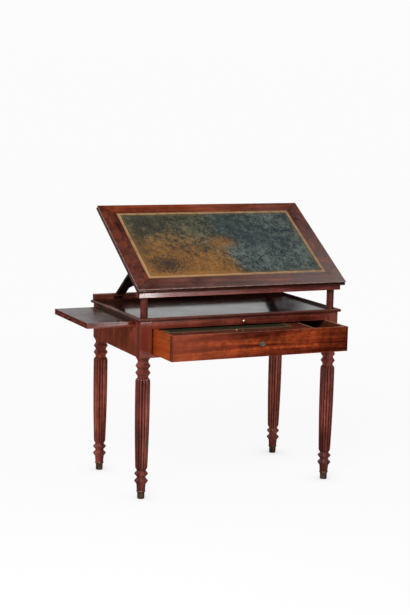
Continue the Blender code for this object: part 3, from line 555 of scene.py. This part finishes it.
lower = [e for e in shape.edges if e.calc_length() > LIFT_LONG
         and all(v.co.y < low.y + LIFT_ARRIS and v.co.z < low.z + LIFT_ARRIS for v in e.verts)]
ease(shape, LIFT_ROUND, lower)
ease(shape, LIFT_ARRIS, [e for e in shape.edges if e.is_manifold and e.calc_face_angle() > LIFT_SHARP])
fit("polished_lift_rail", shape, lift_wood, "lift_rail")

# Hinges. Small brass butt hinges, rolled from strip round a pin, let in under the slope and at the
# prop's foot.
brass = metal("aged_brass", tone(96, 66, 44), tone(122, 88, 56), 0.42, tone(48, 28, 20), 0.8)
for side in ("left", "right"):
    for node in (f"slope_hinge_{side}_lower_leaf", f"slope_hinge_{side}_upper_leaf",
                 f"prop_hinge_{side}_fixed_leaf", f"prop_hinge_{side}_moving_leaf"):
        frame["nodes"][node].data.materials[0] = brass

# Slope frame. Four mahogany borders with a moulded outer edge, a lip over a quirk and a round, mitred at
# the corners and glued round a thin core.
climb = sum(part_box("slope_back_border"), Vector()) - sum(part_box("slope_front_border"), Vector())
SLOPE_TILT = math.atan2(climb.z, climb.y)
hinge = next(Vector(j["pos_m"]) for j in frame["joints"] if j["name"] == "slope_hinge")
slope_place = Matrix.Translation(hinge) @ Matrix.Rotation(SLOPE_TILT, 4, "X")


def lying(node):
    """The node's lowest and highest corners with the slope laid flat and its hinge at the origin."""
    points = [slope_place.inverted() @ v.co for v in frame["nodes"][node].data.vertices]
    low = Vector([min(p[i] for p in points) for i in range(3)])
    high = Vector([max(p[i] for p in points) for i in range(3)])
    return low, high


LIP, LIP_ROUND, LIP_TOP, LIP_SPARE = 0.0042, 0.0020, 0.0022, 1e-5
QUIRK, QUIRK_DEEP = 0.0040, 0.0055
EDGE_FOOT, EDGE_DARK, QUIRK_DARK = 0.0030, 0.0030, 0.0045
EDGE_SHADE, LIP_FACE_GLINT = 0.7, 0.3
EDGE_STEPS = 10
MITRE_GAP = 0.0012
# A pale grey for the lip: a painted glint along it, with some wear.
LIP_GLINT_AND_WEAR = tone(162, 136, 126)
# The front border is toned darker, the back lighter and more orange: partly the wood's own tone, partly
# painted light and shade for how the sheen falls along the slope.
border_lit_tones = {"front": ("X", tone(58, 25, 15), tone(88, 39, 25), tone(114, 54, 34)),
                "back": ("X", tone(80, 27, 9), tone(116, 45, 15), tone(148, 62, 22)),
                "side": ("Y", tone(56, 22, 13), tone(88, 36, 20), tone(116, 51, 27))}
border_wood = {name: mahogany(f"slope_{name}_mahogany", *tones, gloss=0.12, shine=0.5, rubbed=LIP_GLINT_AND_WEAR)
               for name, tones in border_lit_tones.items()}
front_low, front_high = lying("slope_front_border")
back_low, back_high = lying("slope_back_border")
side_high = lying("slope_right_border")[1]
leather_low, leather_high = lying("slope_leather")
outer = [(-side_high.x, front_low.y), (side_high.x, front_low.y), (side_high.x, back_high.y),
         (-side_high.x, back_high.y)]
inner = [(leather_low.x, front_high.y), (leather_high.x, front_high.y), (leather_high.x, back_low.y),
         (leather_low.x, back_low.y)]


def edge_profile(bottom, top, width):
    """The border's section as (inset from the outer edge, height): foot, round, quirk, lip, flat."""
    rows = [(width, bottom), (EDGE_FOOT, bottom)]
    round_top = top - LIP - QUIRK
    half = (round_top - bottom) / 2
    for i in range(EDGE_STEPS + 1):
        turn = math.pi * i / EDGE_STEPS
        rows.append((EDGE_FOOT * (1 - math.sin(turn)), bottom + half * (1 - math.cos(turn))))
    rows += [(QUIRK_DEEP, round_top), (QUIRK_DEEP, round_top + QUIRK), (LIP_ROUND / 3, round_top + QUIRK)]
    rows += [(0.0, top - LIP + LIP_ROUND / 3), (0.0, top - LIP_ROUND), (LIP_ROUND / 3, top - LIP_ROUND / 3),
             (LIP_ROUND, top)]
    return rows + [(width, top)]


for index, name in enumerate(("front", "right", "back", "left")):
    node = f"slope_{name}_border"
    start, end = Vector(outer[index]), Vector(outer[(index + 1) % 4])
    inner_start, inner_end = Vector(inner[index]), Vector(inner[(index + 1) % 4])
    run = (end - start).normalized()
    inward = Vector((-run.y, run.x))
    width = (inner_start - start).dot(inward)
    shape = bmesh.new()
    arris, crease_shade = shape.faces.layers.float.new("arris"), shape.verts.layers.float.new("crease_shade")
    rows = []
    for inset, height in edge_profile(front_low.z, front_high.z, width):
        spot = start + inward * inset
        if rows and (rows[-1].co - Vector((*spot, height))).length < TOUCH:
            continue
        rows.append(shape.verts.new((*spot, height)))
        # Painted shade: the quirk under the lip is marked dark, and the foot of the round is marked partly
        # dark.
        under_lip = LIP_ROUND < front_high.z - height < LIP + QUIRK + QUIRK_DARK and inset > 0.0
        rows[-1][crease_shade] = 1.0 if under_lip else EDGE_SHADE * float(height < front_low.z + EDGE_DARK)
    section = shape.faces.new(rows)
    grown = bmesh.ops.extrude_face_region(shape, geom=[section])["geom"]
    bmesh.ops.translate(shape, vec=(*(end - start), 0),
                        verts=[g for g in grown if isinstance(g, bmesh.types.BMVert)])
    for corner, inside, away in ((start, inner_start, -run), (end, inner_end, run)):
        mitre = (inside - corner).normalized()
        normal = Vector((-mitre.y, mitre.x))
        normal = normal if normal.dot(away) > 0 else -normal
        cut_off(shape, (*(corner - normal * MITRE_GAP / 2), 0), (*normal, 0))
    # The lip's top takes the pale painted glint, with some wear, and its face a weaker share of it.
    for face in shape.faces:
        spots = [(v.co.xy - start).dot(inward) for v in face.verts]
        lowest = min(v.co.z for v in face.verts)
        if max(spots) <= LIP_ROUND + LIP_SPARE and lowest > front_high.z - LIP:
            face[arris] = 1.0 if lowest > front_high.z - LIP_TOP else LIP_FACE_GLINT
    bmesh.ops.transform(shape, matrix=slope_place, verts=shape.verts)
    fit(f"moulded_{node}", shape, border_wood.get(name, border_wood["side"]), node)

# Core and cleat. A thin mahogany panel under the leather, and the bar glued under it that the prop
# leans on.
CORE_ARRIS, CLEAT_ARRIS = 0.0004, 0.0010
core_wood = mahogany("core_mahogany", "X", tone(58, 26, 19), tone(84, 38, 26), tone(110, 54, 36), gloss=0.45,
                     polish=0.1)
eased("slope_core", CORE_ARRIS, core_wood)
eased("prop_cleat", CLEAT_ARRIS, core_wood)

# Slope leather. A thin green skin glued on the core inside the borders, with a gilt band tooled along its
# edge. Its lower left half is worn through to tan, and it is mottled, pitted and stained with ink.
BAND, BAND_SOFT = 0.0125, 0.0007
BAND_LINES = (0.3 * BAND, BAND)
FADED_AT, FADED_FULL, FADED_END = 1.45 * BAND, 0.15 * BAND, 0.35 * BAND
GILT_SCALE, SKIN_SCALE, SKIN_DEEP = 34.0, 700.0, 0.0003
GILT = tone(192, 150, 104)


def skin(name, middle, turn, reach):
    """A leather's finish, its flat coordinates from its middle, and how far in from its edge a spot is."""
    finish, tree, shader = new_finish(name)
    place = step(tree, "TexCoord").outputs["Object"]
    back = Matrix.Rotation(-turn, 3, "X")
    flat = step(tree, "Mapping", {"Vector": place, "Location": -(back @ middle),
                                  "Rotation": (-turn, 0, 0)}).outputs[0]
    across, along = step(tree, "SeparateXYZ", {"Vector": flat}).outputs[:2]
    depth = calc(tree, "MINIMUM", calc(tree, "SUBTRACT", reach[0], calc(tree, "ABSOLUTE", across)),
                 calc(tree, "SUBTRACT", reach[1], calc(tree, "ABSOLUTE", along)))
    return finish, tree, shader, flat, depth


def tooled(tree, shader, colour, flat, depth, gilt, share=0.9):
    """Adds the gilt band with its fine dark lines, and the leather's grain and sheen."""
    kept = within(tree, noise(tree, flat, GILT_SCALE, 4.0, 0.6), 0.3, 0.65, 0.55 * share, share)
    inside = within(tree, depth, BAND - BAND_SOFT, BAND + BAND_SOFT, 1.0, 0.0)
    colour = mixed(tree, calc(tree, "MULTIPLY", inside, kept), colour, gilt)
    for line in BAND_LINES:
        near = calc(tree, "ABSOLUTE", calc(tree, "SUBTRACT", depth, line))
        ruled = within(tree, near, BAND_SOFT, 3 * BAND_SOFT, 0.55, 0.0)
        colour = mixed(tree, ruled, colour, tone(66, 46, 26))
    beside = calc(tree, "ABSOLUTE", calc(tree, "SUBTRACT", depth, FADED_AT))
    colour = mixed(tree, within(tree, beside, FADED_FULL, FADED_END, 0.5, 0.0), colour, tone(104, 82, 46))
    tree.links.new(colour, shader.inputs["Base Color"])
    grain = noise(tree, flat, SKIN_SCALE, 4.0, 0.6)
    tree.links.new(within(tree, grain, 0.3, 0.7, 0.46, 0.6), shader.inputs["Roughness"])
    shader.inputs["Specular IOR Level"].default_value = 0.2
    embossed(tree, shader, grain, 0.25, SKIN_DEEP)


STAIN_SPOT, STAIN_REACH = (0.150, 0.20), (0.105, 0.150)
ISLAND_SPOT, ISLAND_REACH = (0.505, 0.505), (0.075, 0.090)
TAN_TOP, TAN_FADE, TAN_TURN, TAN_DROOP = 0.74, 0.46, 0.25, 0.8
TAN_END, TAN_FALL = 0.48, 5.0
CLOUDS = [((0.16, 0.84), (0.15, 0.24), tone(40, 34, 26), 0.6),
          ((0.60, 0.80), (0.13, 0.24), tone(22, 38, 38), 0.6),
          ((0.73, 0.55), (0.15, 0.20), tone(34, 42, 52), 0.55),
          ((0.02, 0.50), (0.11, 0.36), tone(60, 50, 32), 0.5)]
WEAR_SCALES = ((8.0, 3.0, 0.5), (34.0, 4.0, 0.6), (105.0, 3.0, 0.6), (240.0, 3.0, 0.7))
STROKE_TURN, STROKE_DRAW, STROKE_SCALE = 0.6, 0.45, 70.0
reach = (leather_high - leather_low) / 2
leather_middle = slope_place @ ((leather_low + leather_high) / 2)
green_skin, tree, shader, flat, depth = skin("worn_green_leather", leather_middle, SLOPE_TILT, reach)
across, along = step(tree, "SeparateXYZ", {"Vector": flat}).outputs[:2]
u = calc(tree, "ADD", calc(tree, "MULTIPLY", across, 0.5 / reach.x), 0.5)
v = calc(tree, "ADD", calc(tree, "MULTIPLY", along, 0.5 / reach.y), 0.5)
cloud, patch, mottle, speck = [calc(tree, "SUBTRACT", noise(tree, flat, *wear), 0.5) for wear in WEAR_SCALES]
brushed = step(tree, "Mapping", {"Vector": flat, "Rotation": (0, 0, STROKE_TURN),
                                 "Scale": (1, STROKE_DRAW, 1)}).outputs[0]
strokes = calc(tree, "SUBTRACT", noise(tree, brushed, STROKE_SCALE, 5.0, 0.7, 0.5), 0.5)


def total(*parts):
    """The sum of values, each taken at its share."""
    whole = 0.0
    for value, share in parts:
        whole = calc(tree, "ADD", whole, calc(tree, "MULTIPLY", value, share))
    return whole


def off_spot(spot, size):
    """How far a place on the leather is from a spot, 1 at the spot's edge."""
    apart = [calc(tree, "DIVIDE", calc(tree, "SUBTRACT", s, at), r) for s, at, r in zip((u, v), spot, size)]
    return calc(tree, "SQRT", calc(tree, "ADD", *[calc(tree, "MULTIPLY", a, a) for a in apart]))


bluish = within(tree, total((u, 1.0), (cloud, 0.5), (patch, 0.4), (strokes, 0.3)), 0.42, 0.60)
shade = total((cloud, 0.6), (patch, 0.9), (strokes, 0.4), (mottle, 1.2), (speck, 1.4))
shade = within(tree, shade, -0.19, 0.23)
colour = mixed(tree, bluish, mixed(tree, shade, tone(22, 27, 20), tone(106, 102, 76)),
               mixed(tree, shade, tone(12, 26, 34), tone(102, 114, 106)))
past_turn, past_end = [calc(tree, "MULTIPLY", calc(tree, "MAXIMUM", calc(tree, "SUBTRACT", u, at), 0.0), fall)
                       for at, fall in ((TAN_TURN, TAN_DROOP), (TAN_END, TAN_FALL))]
worn = total((v, -1.0), (past_turn, -1.0), (past_end, -1.0), (cloud, 0.5), (patch, 0.6), (strokes, 0.4),
             (speck, 0.9))
worn = within(tree, worn, -TAN_TOP, TAN_FADE - TAN_TOP)
island = total((off_spot(ISLAND_SPOT, ISLAND_REACH), 1.0), (patch, 2.4), (strokes, 1.6), (speck, 2.2))
worn = calc(tree, "MAXIMUM", worn, within(tree, island, 0.2, 1.5, 1.0, 0.0))
tan_shade = total((cloud, 0.4), (patch, 0.4), (strokes, 0.4), (mottle, 1.0), (speck, 1.7))
tan_shade = within(tree, tan_shade, -0.17, 0.17)
colour = mixed(tree, worn, colour, mixed(tree, tan_shade, tone(92, 62, 30), tone(166, 114, 56)))
rubbed = calc(tree, "MULTIPLY", worn, within(tree, depth, BAND, 3 * BAND, 0.6, 0.0))
colour = mixed(tree, rubbed, colour, tone(176, 116, 54))
for spot, size, dark, share in CLOUDS:
    shaded = total((off_spot(spot, size), 1.0), (patch, 1.6), (strokes, 1.4), (speck, 2.0))
    colour = mixed(tree, within(tree, shaded, 0.4, 1.3, share, 0.0), colour, dark)
pitted = within(tree, total((speck, 1.0), (mottle, 0.5)), 0.06, 0.15, 0.0, 0.7)
colour = mixed(tree, pitted, colour, tone(36, 32, 26))
stain = total((off_spot(STAIN_SPOT, STAIN_REACH), -1.0), (speck, 4.0), (mottle, 5.5))
colour = mixed(tree, within(tree, stain, -0.78, -0.44, 0.0, 0.9), colour, tone(26, 20, 24))
tooled(tree, shader, colour, flat, depth, GILT)
LEATHER_ARRIS = 0.0003
eased("slope_leather", LEATHER_ARRIS, green_skin, "tooled")

# Prop. One frame with an open window and an arched foot, ebonised, hinged to the rest rail and leaning
# under the slope. Its black is rubbed through to brown at the foot.
PROP_ARRIS = 0.0012
FOOT_BELOW, FOOT_FADE, FOOT_RUBBED = 0.002, 0.003, 0.85
ebony = mahogany("ebonised_wood", "Z", tone(22, 17, 16), tone(30, 23, 21), tone(42, 32, 29), gloss=0.34,
                 polish=0.2)
tree = ebony.node_tree
foot_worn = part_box("rear_rest_rail")[1].z - FOOT_BELOW
rubbed = within(tree, spot_along(tree, "Z"), foot_worn - FOOT_FADE, foot_worn + FOOT_FADE, FOOT_RUBBED, 0.0)
tinted(ebony, rubbed, tone(164, 88, 70))
eased("prop_frame", PROP_ARRIS, ebony)

# Drawer. Its front is faced with flame mahogany, dark at both ends. The left side is coloured orange and the
# rest dark brown, paler along the top of the right side and the partition. It is dovetailed and glued.
DRAWER_ARRIS = 0.0008
LEFT_BAND, LEFT_FADE, LEFT_DARK = 0.0060, 0.0018, 0.5
RIGHT_BAND, RIGHT_FADE, RIGHT_DARK = 0.0120, 0.0024, 0.6
LIT_SHARE, PALE_SHARE = 0.35, 0.7
front_wood = mahogany("drawer_veneer", "X", tone(68, 18, 9), tone(114, 41, 18), tone(152, 66, 28), swirl=2.6,
                      band=16.0, shine=0.05, rubbed=tone(186, 130, 92), mottle=0.42)
low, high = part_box("drawer_front")
tree = front_wood.node_tree
along = spot_along(tree, "X")
tinted(front_wood, within(tree, along, low.x, (low.x + high.x) / 2, LIT_SHARE, 0.0), tone(176, 86, 56))
left, right = low.x + LEFT_BAND, high.x - RIGHT_BAND
banded = calc(tree, "MAXIMUM", within(tree, along, left - LEFT_FADE, left, LEFT_DARK, 0.0),
              within(tree, along, right, right + RIGHT_FADE, 0.0, RIGHT_DARK))
tinted(front_wood, banded, tone(56, 20, 14))
eased("drawer_front", DRAWER_ARRIS, front_wood)


def top_tinted(finish, share, colour):
    """Mixes a colour over the faces that look up."""
    tree = finish.node_tree
    upper = step(tree, "Attribute", attribute_name="upper").outputs["Fac"]
    tinted(finish, calc(tree, "MULTIPLY", upper, share), colour)


drawer_deep = oak("drawer_side_wood", "Y", tone(150, 58, 18), tone(186, 82, 30))
drawer_dark = oak("drawer_inner_wood", "Y", tone(74, 36, 22), tone(104, 54, 32))
drawer_long = oak("drawer_back_wood", "X", tone(74, 36, 22), tone(104, 54, 32))
top_tinted(drawer_dark, PALE_SHARE, tone(176, 132, 100))
eased("drawer_left_side", OAK_ARRIS, drawer_deep, "planed")
for node in ("drawer_right_side", "drawer_partition"):
    eased(node, OAK_ARRIS, drawer_dark, "planed")
for node in ("drawer_back", "drawer_bottom"):
    eased(node, OAK_ARRIS, drawer_long, "planed")

# Lock. An oval bronze key plate with a raised rim, pinned to the drawer's front, and behind it an iron lock
# case with its bolt.
PLATE_POINTS = 48
PLATE_RIM, RIM_INNER, PLATE_FIELD = 0.0009, 0.00196, 0.0028
FIELD_HIGH, HOLE_FLOOR = 0.6, 0.1
KEY_EYE, KEY_RISE, KEY_HALF, KEY_DROP = 0.0022, 0.0012, 0.0011, 0.0050
low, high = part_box("escutcheon")
middle, half = (low + high) / 2, (high - low) / 2
thick = high.y - low.y
key_plate = metal("key_plate_bronze", tone(92, 82, 72), tone(138, 128, 114), 0.5, tone(50, 42, 36), 0.7,
                  solid=0.2)


def keyhole(angle):
    """How far the keyhole, an eye over a slot, reaches from its middle in one direction."""
    way = Vector((math.cos(angle), math.sin(angle)))
    reach = KEY_RISE * way.y + math.sqrt((KEY_RISE * way.y) ** 2 - KEY_RISE ** 2 + KEY_EYE ** 2)
    if way.y < 0:
        reach = max(reach, min(KEY_HALF / max(abs(way.x), 1e-6), KEY_DROP / abs(way.y)))
    return way * reach


shape = bmesh.new()
rims = []
turns = [2 * math.pi * i / PLATE_POINTS for i in range(PLATE_POINTS)]
for inset, height in ((0, 0), (0, thick - PLATE_RIM / 2), (PLATE_RIM, thick), (RIM_INNER, thick),
                      (PLATE_FIELD, thick * FIELD_HIGH)):
    rims.append([((half.x - inset) * math.cos(t), (half.z - inset) * math.sin(t), height) for t in turns])
for height in (thick * FIELD_HIGH, thick * HOLE_FLOOR):
    rims.append([(*keyhole(t), height) for t in turns])
rims = [[shape.verts.new(spot) for spot in rim] for rim in rims]
for near, far in zip(rims, rims[1:]):
    for i in range(PLATE_POINTS):
        shape.faces.new((near[i - 1], near[i], far[i], far[i - 1]))
shape.faces.new(rims[0])
shape.faces.new(rims[-1])
bmesh.ops.transform(shape, verts=shape.verts, matrix=Matrix.Translation((middle.x, high.y, middle.z))
                    @ Matrix.Rotation(math.pi / 2, 4, "X"))
fit("pierced_escutcheon", shape, key_plate, "escutcheon")
iron = metal("lock_iron", tone(74, 70, 66), tone(100, 96, 92), 0.44, tone(66, 44, 30), 0.45)
LOCK_ARRIS = 0.0004
for node in ("lock_case", "lock_bolt"):
    eased(node, LOCK_ARRIS, iron, "forged")

# Writing panel. A mahogany board that slides over the drawer's left part. It is lined with dark green leather
# glued inside its border, and drawn by a small turned brass knob.
PANEL_ARRIS, RUBBED_SCALE = 0.0008, 26.0
panel_wood = mahogany("panel_mahogany", "X", tone(70, 30, 22), tone(104, 46, 32), tone(136, 64, 44))
eased("writing_panel_board", PANEL_ARRIS, panel_wood)
low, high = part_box("writing_panel_leather")
panel_skin, tree, shader, flat, depth = skin("dark_green_leather", (low + high) / 2, 0.0, (high - low) / 2)
rubbed = noise(tree, flat, RUBBED_SCALE, 6.0, 0.6)
dyed = ramp(tree, rubbed, [(0.3, tone(24, 26, 18)), (0.7, tone(46, 50, 36))])
tooled(tree, shader, dyed, flat, depth, tone(140, 110, 84), 0.6)
eased("writing_panel_leather", LEATHER_ARRIS, panel_skin, "tooled")
KNOB_STEPS, KNOB_SIDES = 9, 40


def knob_head(radius, tip, half, neck):
    """The round head of a turned knob, from the neck's radius out to its tip."""
    start = -math.acos(neck / radius)
    rows = []
    for i in range(KNOB_STEPS):
        turn = start + (math.pi / 2 - start) * i / KNOB_STEPS
        rows.append((radius * math.cos(turn), tip - half + half * math.sin(turn)))
    return rows + [(0.0, tip)]


STUD_FOOT, STUD_NECK = 0.7, 0.45
STUD_FLANGE, STUD_HALF = 0.0007, 0.0022
low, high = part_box("writing_panel_knob")
middle, reach = (low + high) / 2, (high - low) / 2
foot_r, neck_r = STUD_FOOT * reach.x, STUD_NECK * reach.x
shape = bmesh.new()
turned(shape, [(0.0, 0.0), (foot_r, 0.0), (foot_r, STUD_FLANGE), (neck_r, 2 * STUD_FLANGE)]
       + knob_head(reach.x, reach.z * 2, STUD_HALF, neck_r), Matrix.Translation((middle.x, middle.y, low.z)),
       KNOB_SIDES)
gilt_brass = metal("bright_brass", tone(222, 196, 140), tone(240, 222, 176), 0.30, tone(132, 96, 56), 0.4)
fit("turned_writing_panel_knob", shape, gilt_brass, "writing_panel_knob")

# Side slides. Two mahogany boards that draw out for candles or books, tongued into the guides. Their tops are
# coloured a darker grey-brown than their reddish edges, and each has a turned brass knob on its outer edge.
SLIDE_ARRIS, SLIDE_TOP_DARK = 0.0009, 0.8
KNOB_NECK_R, KNOB_FLANGE_R, KNOB_FLANGE, KNOB_HALF = 0.0028, 0.0046, 0.0010, 0.0052
slide_wood = mahogany("slide_mahogany", "X", tone(74, 30, 22), tone(110, 46, 34), tone(138, 64, 48),
                      gloss=0.15, shine=0.32, rubbed=tone(170, 130, 108))
# The faces that look up are coloured darker and greyer than the edges.
top_tinted(slide_wood, SLIDE_TOP_DARK, tone(50, 38, 32))
for side, turn in (("left", -math.pi / 2), ("right", math.pi / 2)):
    eased(f"{side}_slide_board", SLIDE_ARRIS, slide_wood)
    low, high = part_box(f"{side}_slide_knob")
    middle, length = (low + high) / 2, high.x - low.x
    foot = high.x if side == "left" else low.x
    profile = [(0.0, 0.0), (KNOB_FLANGE_R, 0.0), (KNOB_FLANGE_R, KNOB_FLANGE), (KNOB_NECK_R, 2 * KNOB_FLANGE)]
    shape = bmesh.new()
    turned(shape, profile + knob_head((high.z - low.z) / 2, length, KNOB_HALF, KNOB_NECK_R),
           Matrix.Translation((foot, middle.y, middle.z)) @ Matrix.Rotation(turn, 4, "Y"), KNOB_SIDES)
    fit(f"turned_{side}_slide_knob", shape, brass, f"{side}_slide_knob")

# Release. A turned brass push knob in the front top rail. Its stem passes through the rail, and presses a
# forged iron bar off the two posts.
RELEASE_STEM_R, RELEASE_HEAD = 0.0025, 0.01144
low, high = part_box("release_knob")
middle, length = (low + high) / 2, high.y - low.y
neck_start = length - RELEASE_HEAD
shape = bmesh.new()
turned(shape, [(0.0, 0.0), (RELEASE_STEM_R, 0.0), (RELEASE_STEM_R, neck_start), (KNOB_NECK_R, neck_start)]
       + knob_head((high.x - low.x) / 2, length, KNOB_HALF, KNOB_NECK_R),
       Matrix.Translation((middle.x, high.y, middle.z)) @ Matrix.Rotation(math.pi / 2, 4, "X"), KNOB_SIDES)
fit("turned_release_knob", shape, gilt_brass, "release_knob")
eased("release_bar", LOCK_ARRIS, iron, "forged")

# Floor. White studio paper, which shows as white with a soft shade round the feet. In what the polish mirrors
# it is dim, but for a brighter pool in front.
FLOOR_HALF = 30.0
PAPER_NEAR, PAPER_FAR, NEAR_REACH, FAR_REACH = 0.915, 0.95, 1.2, 4.0
PAPER_MIRRORED, PAPER_POOL = 0.05, 0.6
POOL_SPOT, POOL_CORE, POOL_REACH = (-0.9, -1.9, 0.0), 0.9, 1.5
SHADE_REACH, SHADE_DEPTH, SHADE_FULL, SHADE_RAYS = 0.16, 0.72, 0.6, 16
shape = bmesh.new()
bmesh.ops.create_grid(shape, x_segments=1, y_segments=1, size=FLOOR_HALF)
data = bpy.data.meshes.new("paper_floor")
shape.to_mesh(data)
shape.free()
floor = bpy.data.objects.new("paper_floor", data)
bpy.context.scene.collection.objects.link(floor)
paper, tree, shader = new_finish("white_paper")
shader.inputs["Base Color"].default_value = (1, 1, 1, 1)
shader.inputs["Roughness"].default_value = 0.9
shader.inputs["Specular IOR Level"].default_value = 0.0
path = step(tree, "LightPath").outputs
place = step(tree, "TexCoord").outputs["Object"]
away = step(tree, "VectorMath", {0: place}, operation="LENGTH").outputs["Value"]
off_pool = step(tree, "VectorMath", {0: place, 1: POOL_SPOT}, operation="DISTANCE").outputs["Value"]
bright = calc(tree, "MAXIMUM", path["Is Camera Ray"], path["Is Transmission Ray"])
# The paper glows a little less near the table than far off: painted shade round it.
seen = calc(tree, "MULTIPLY", bright, within(tree, away, NEAR_REACH, FAR_REACH, PAPER_NEAR, PAPER_FAR))
open_sky = step(tree, "AmbientOcclusion", {"Distance": SHADE_REACH}, samples=SHADE_RAYS).outputs["AO"]
seen = calc(tree, "MULTIPLY", seen, within(tree, open_sky, SHADE_FULL, 1.0, SHADE_DEPTH, 1.0))
seen = calc(tree, "MAXIMUM", seen, path["Is Glossy Ray"])
dim = within(tree, off_pool, POOL_CORE, POOL_REACH, PAPER_POOL, PAPER_MIRRORED)
strength = step(tree, "Mix", {0: path["Is Glossy Ray"], 2: 1.0, 3: dim}).outputs[0]
glow = step(tree, "Emission", {"Color": (1, 1, 1, 1), "Strength": strength}).outputs[0]
shown = step(tree, "MixShader", {0: seen, 1: shader.outputs[0], 2: glow})
tree.links.new(shown.outputs[0], tree.nodes["Material Output"].inputs["Surface"])
data.materials.append(paper)

# Light. A white studio. What the polish mirrors of it is pale behind the table, darker to the right and in
# front, and dark overhead but for the right. A large soft box stands above the front left, and two low cards
# far in front on the right show only in the polish.
WALL_LOW, WALL_HIGH, WALL_FADE = 0.971, 0.985, 0.12
SKY_FILL, SKY_FRONT, FRONT_FADE = 0.40, 0.04, 0.3
SKY_BACK, BACK_FULL, BACK_END = 0.58, math.radians(27.95), math.radians(28.1)
SKY_RIGHT, SKY_CORNER, RIGHT_START, RIGHT_FULL = 0.50, 0.02, math.radians(28.9), math.radians(29.8)
GAP_AT, GAP_HALF, GAP_END, GAP_LEFT = math.radians(21.5), math.radians(0.4), math.radians(0.7), 0.15
SKY_OVER, SKY_OVER_RIGHT, OVER_START, OVER_FULL = 0.02, 1.9, -0.40, -0.22
OVER_SLANT, OVER_LOW, OVER_HIGH = 3.0, 0.45, 0.65
world = bpy.data.worlds.new("studio")
bpy.context.scene.world = world
world.use_nodes = True
tree = world.node_tree
path = step(tree, "LightPath").outputs
x, y, z = step(tree, "SeparateXYZ", {"Vector": step(tree, "TexCoord").outputs["Generated"]}).outputs[:3]
bearing = calc(tree, "ARCTAN2", x, y)
back = calc(tree, "MAXIMUM", within(tree, bearing, BACK_FULL, BACK_END, SKY_BACK, 0.0),
            within(tree, bearing, RIGHT_START, RIGHT_FULL, SKY_CORNER, SKY_RIGHT))
gap = calc(tree, "ABSOLUTE", calc(tree, "SUBTRACT", bearing, GAP_AT))
back = calc(tree, "MULTIPLY", back, within(tree, gap, GAP_HALF, GAP_END, GAP_LEFT, 1.0))
low = step(tree, "Mix", {0: within(tree, y, -FRONT_FADE, FRONT_FADE), 2: SKY_FRONT, 3: back}).outputs[0]
slant = calc(tree, "SUBTRACT", x, calc(tree, "MULTIPLY", y, OVER_SLANT))
over = within(tree, slant, OVER_START, OVER_FULL, SKY_OVER, SKY_OVER_RIGHT)
mirrored = step(tree, "Mix", {0: within(tree, z, OVER_LOW, OVER_HIGH), 2: low, 3: over}).outputs[0]
shiny = calc(tree, "MAXIMUM", path["Is Glossy Ray"], path["Is Transmission Ray"])
level = step(tree, "Mix", {0: shiny, 2: SKY_FILL, 3: mirrored}).outputs[0]
wall = within(tree, z, 0.0, WALL_FADE, WALL_LOW, WALL_HIGH)
level = step(tree, "Mix", {0: path["Is Camera Ray"], 2: level, 3: wall}).outputs[0]
tree.links.new(level, tree.nodes["Background"].inputs["Strength"])
tree.nodes["Background"].inputs["Color"].default_value = (1, 1, 1, 1)


def soft_box(name, place, target, width, height, watts):
    """A flat lamp on its stand, turned to a target."""
    lamp = bpy.data.lights.new(name, "AREA")
    lamp.shape, lamp.size, lamp.size_y, lamp.energy = "RECTANGLE", width, height, watts
    stand = bpy.data.objects.new(name, lamp)
    stand.location = place
    stand.rotation_euler = (Vector(target) - Vector(place)).to_track_quat("-Z", "Y").to_euler()
    bpy.context.scene.collection.objects.link(stand)
    return stand


KEY_PLACE, KEY_TARGET = (-1.6, -2.1, 2.5), (0.1, 0.0, 0.6)
KEY_WIDE, KEY_TALL, KEY_WATTS = 1.3, 1.1, 62
CARD_TARGET = (-0.2, 0.0, 0.7)
CARDS = (("strip", (0.81, -3.2, 0.45), 0.40, 0.46, 9.5, (1.0, 1.0, 1.0)),
         ("wash", (1.30, -3.2, 0.44), 0.60, 0.56, 1.6, (1.0, 0.55, 0.5)))
soft_box("key", KEY_PLACE, KEY_TARGET, KEY_WIDE, KEY_TALL, KEY_WATTS)
for name, place, width, height, watts, colour in CARDS:
    card = soft_box(name, place, CARD_TARGET, width, height, watts)
    card.visible_diffuse = False
    card.data.color = colour

# Camera. It stands left of the front, a little above the slope, and looks down on the table. Its place, turn
# and lens are those that the table's own right angles give.
YAW, PITCH, ROLL = math.radians(25.36), math.radians(8.81), math.radians(-1.40)
CAMERA_PLACE = (-2.45875, -5.2076, 1.6282)
FOCAL, TALL, SENSOR = 1415.93, 615.0, 36.0
ahead = Vector((math.sin(YAW) * math.cos(PITCH), math.cos(YAW) * math.cos(PITCH), -math.sin(PITCH)))
right = Vector((math.cos(YAW), -math.sin(YAW), 0.0))
down = ahead.cross(right)
across = math.cos(ROLL) * right + math.sin(ROLL) * down
below = math.cos(ROLL) * down - math.sin(ROLL) * right
lens = bpy.data.cameras.new("camera")
lens.sensor_width, lens.lens = SENSOR, FOCAL / TALL * SENSOR
camera = bpy.data.objects.new("camera", lens)
turn = Matrix((across, -below, -ahead)).transposed().to_4x4()
camera.matrix_world = Matrix.Translation(CAMERA_PLACE) @ turn
bpy.context.scene.collection.objects.link(camera)
bpy.context.scene.camera = camera
bpy.context.scene.view_settings.view_transform = "Standard"
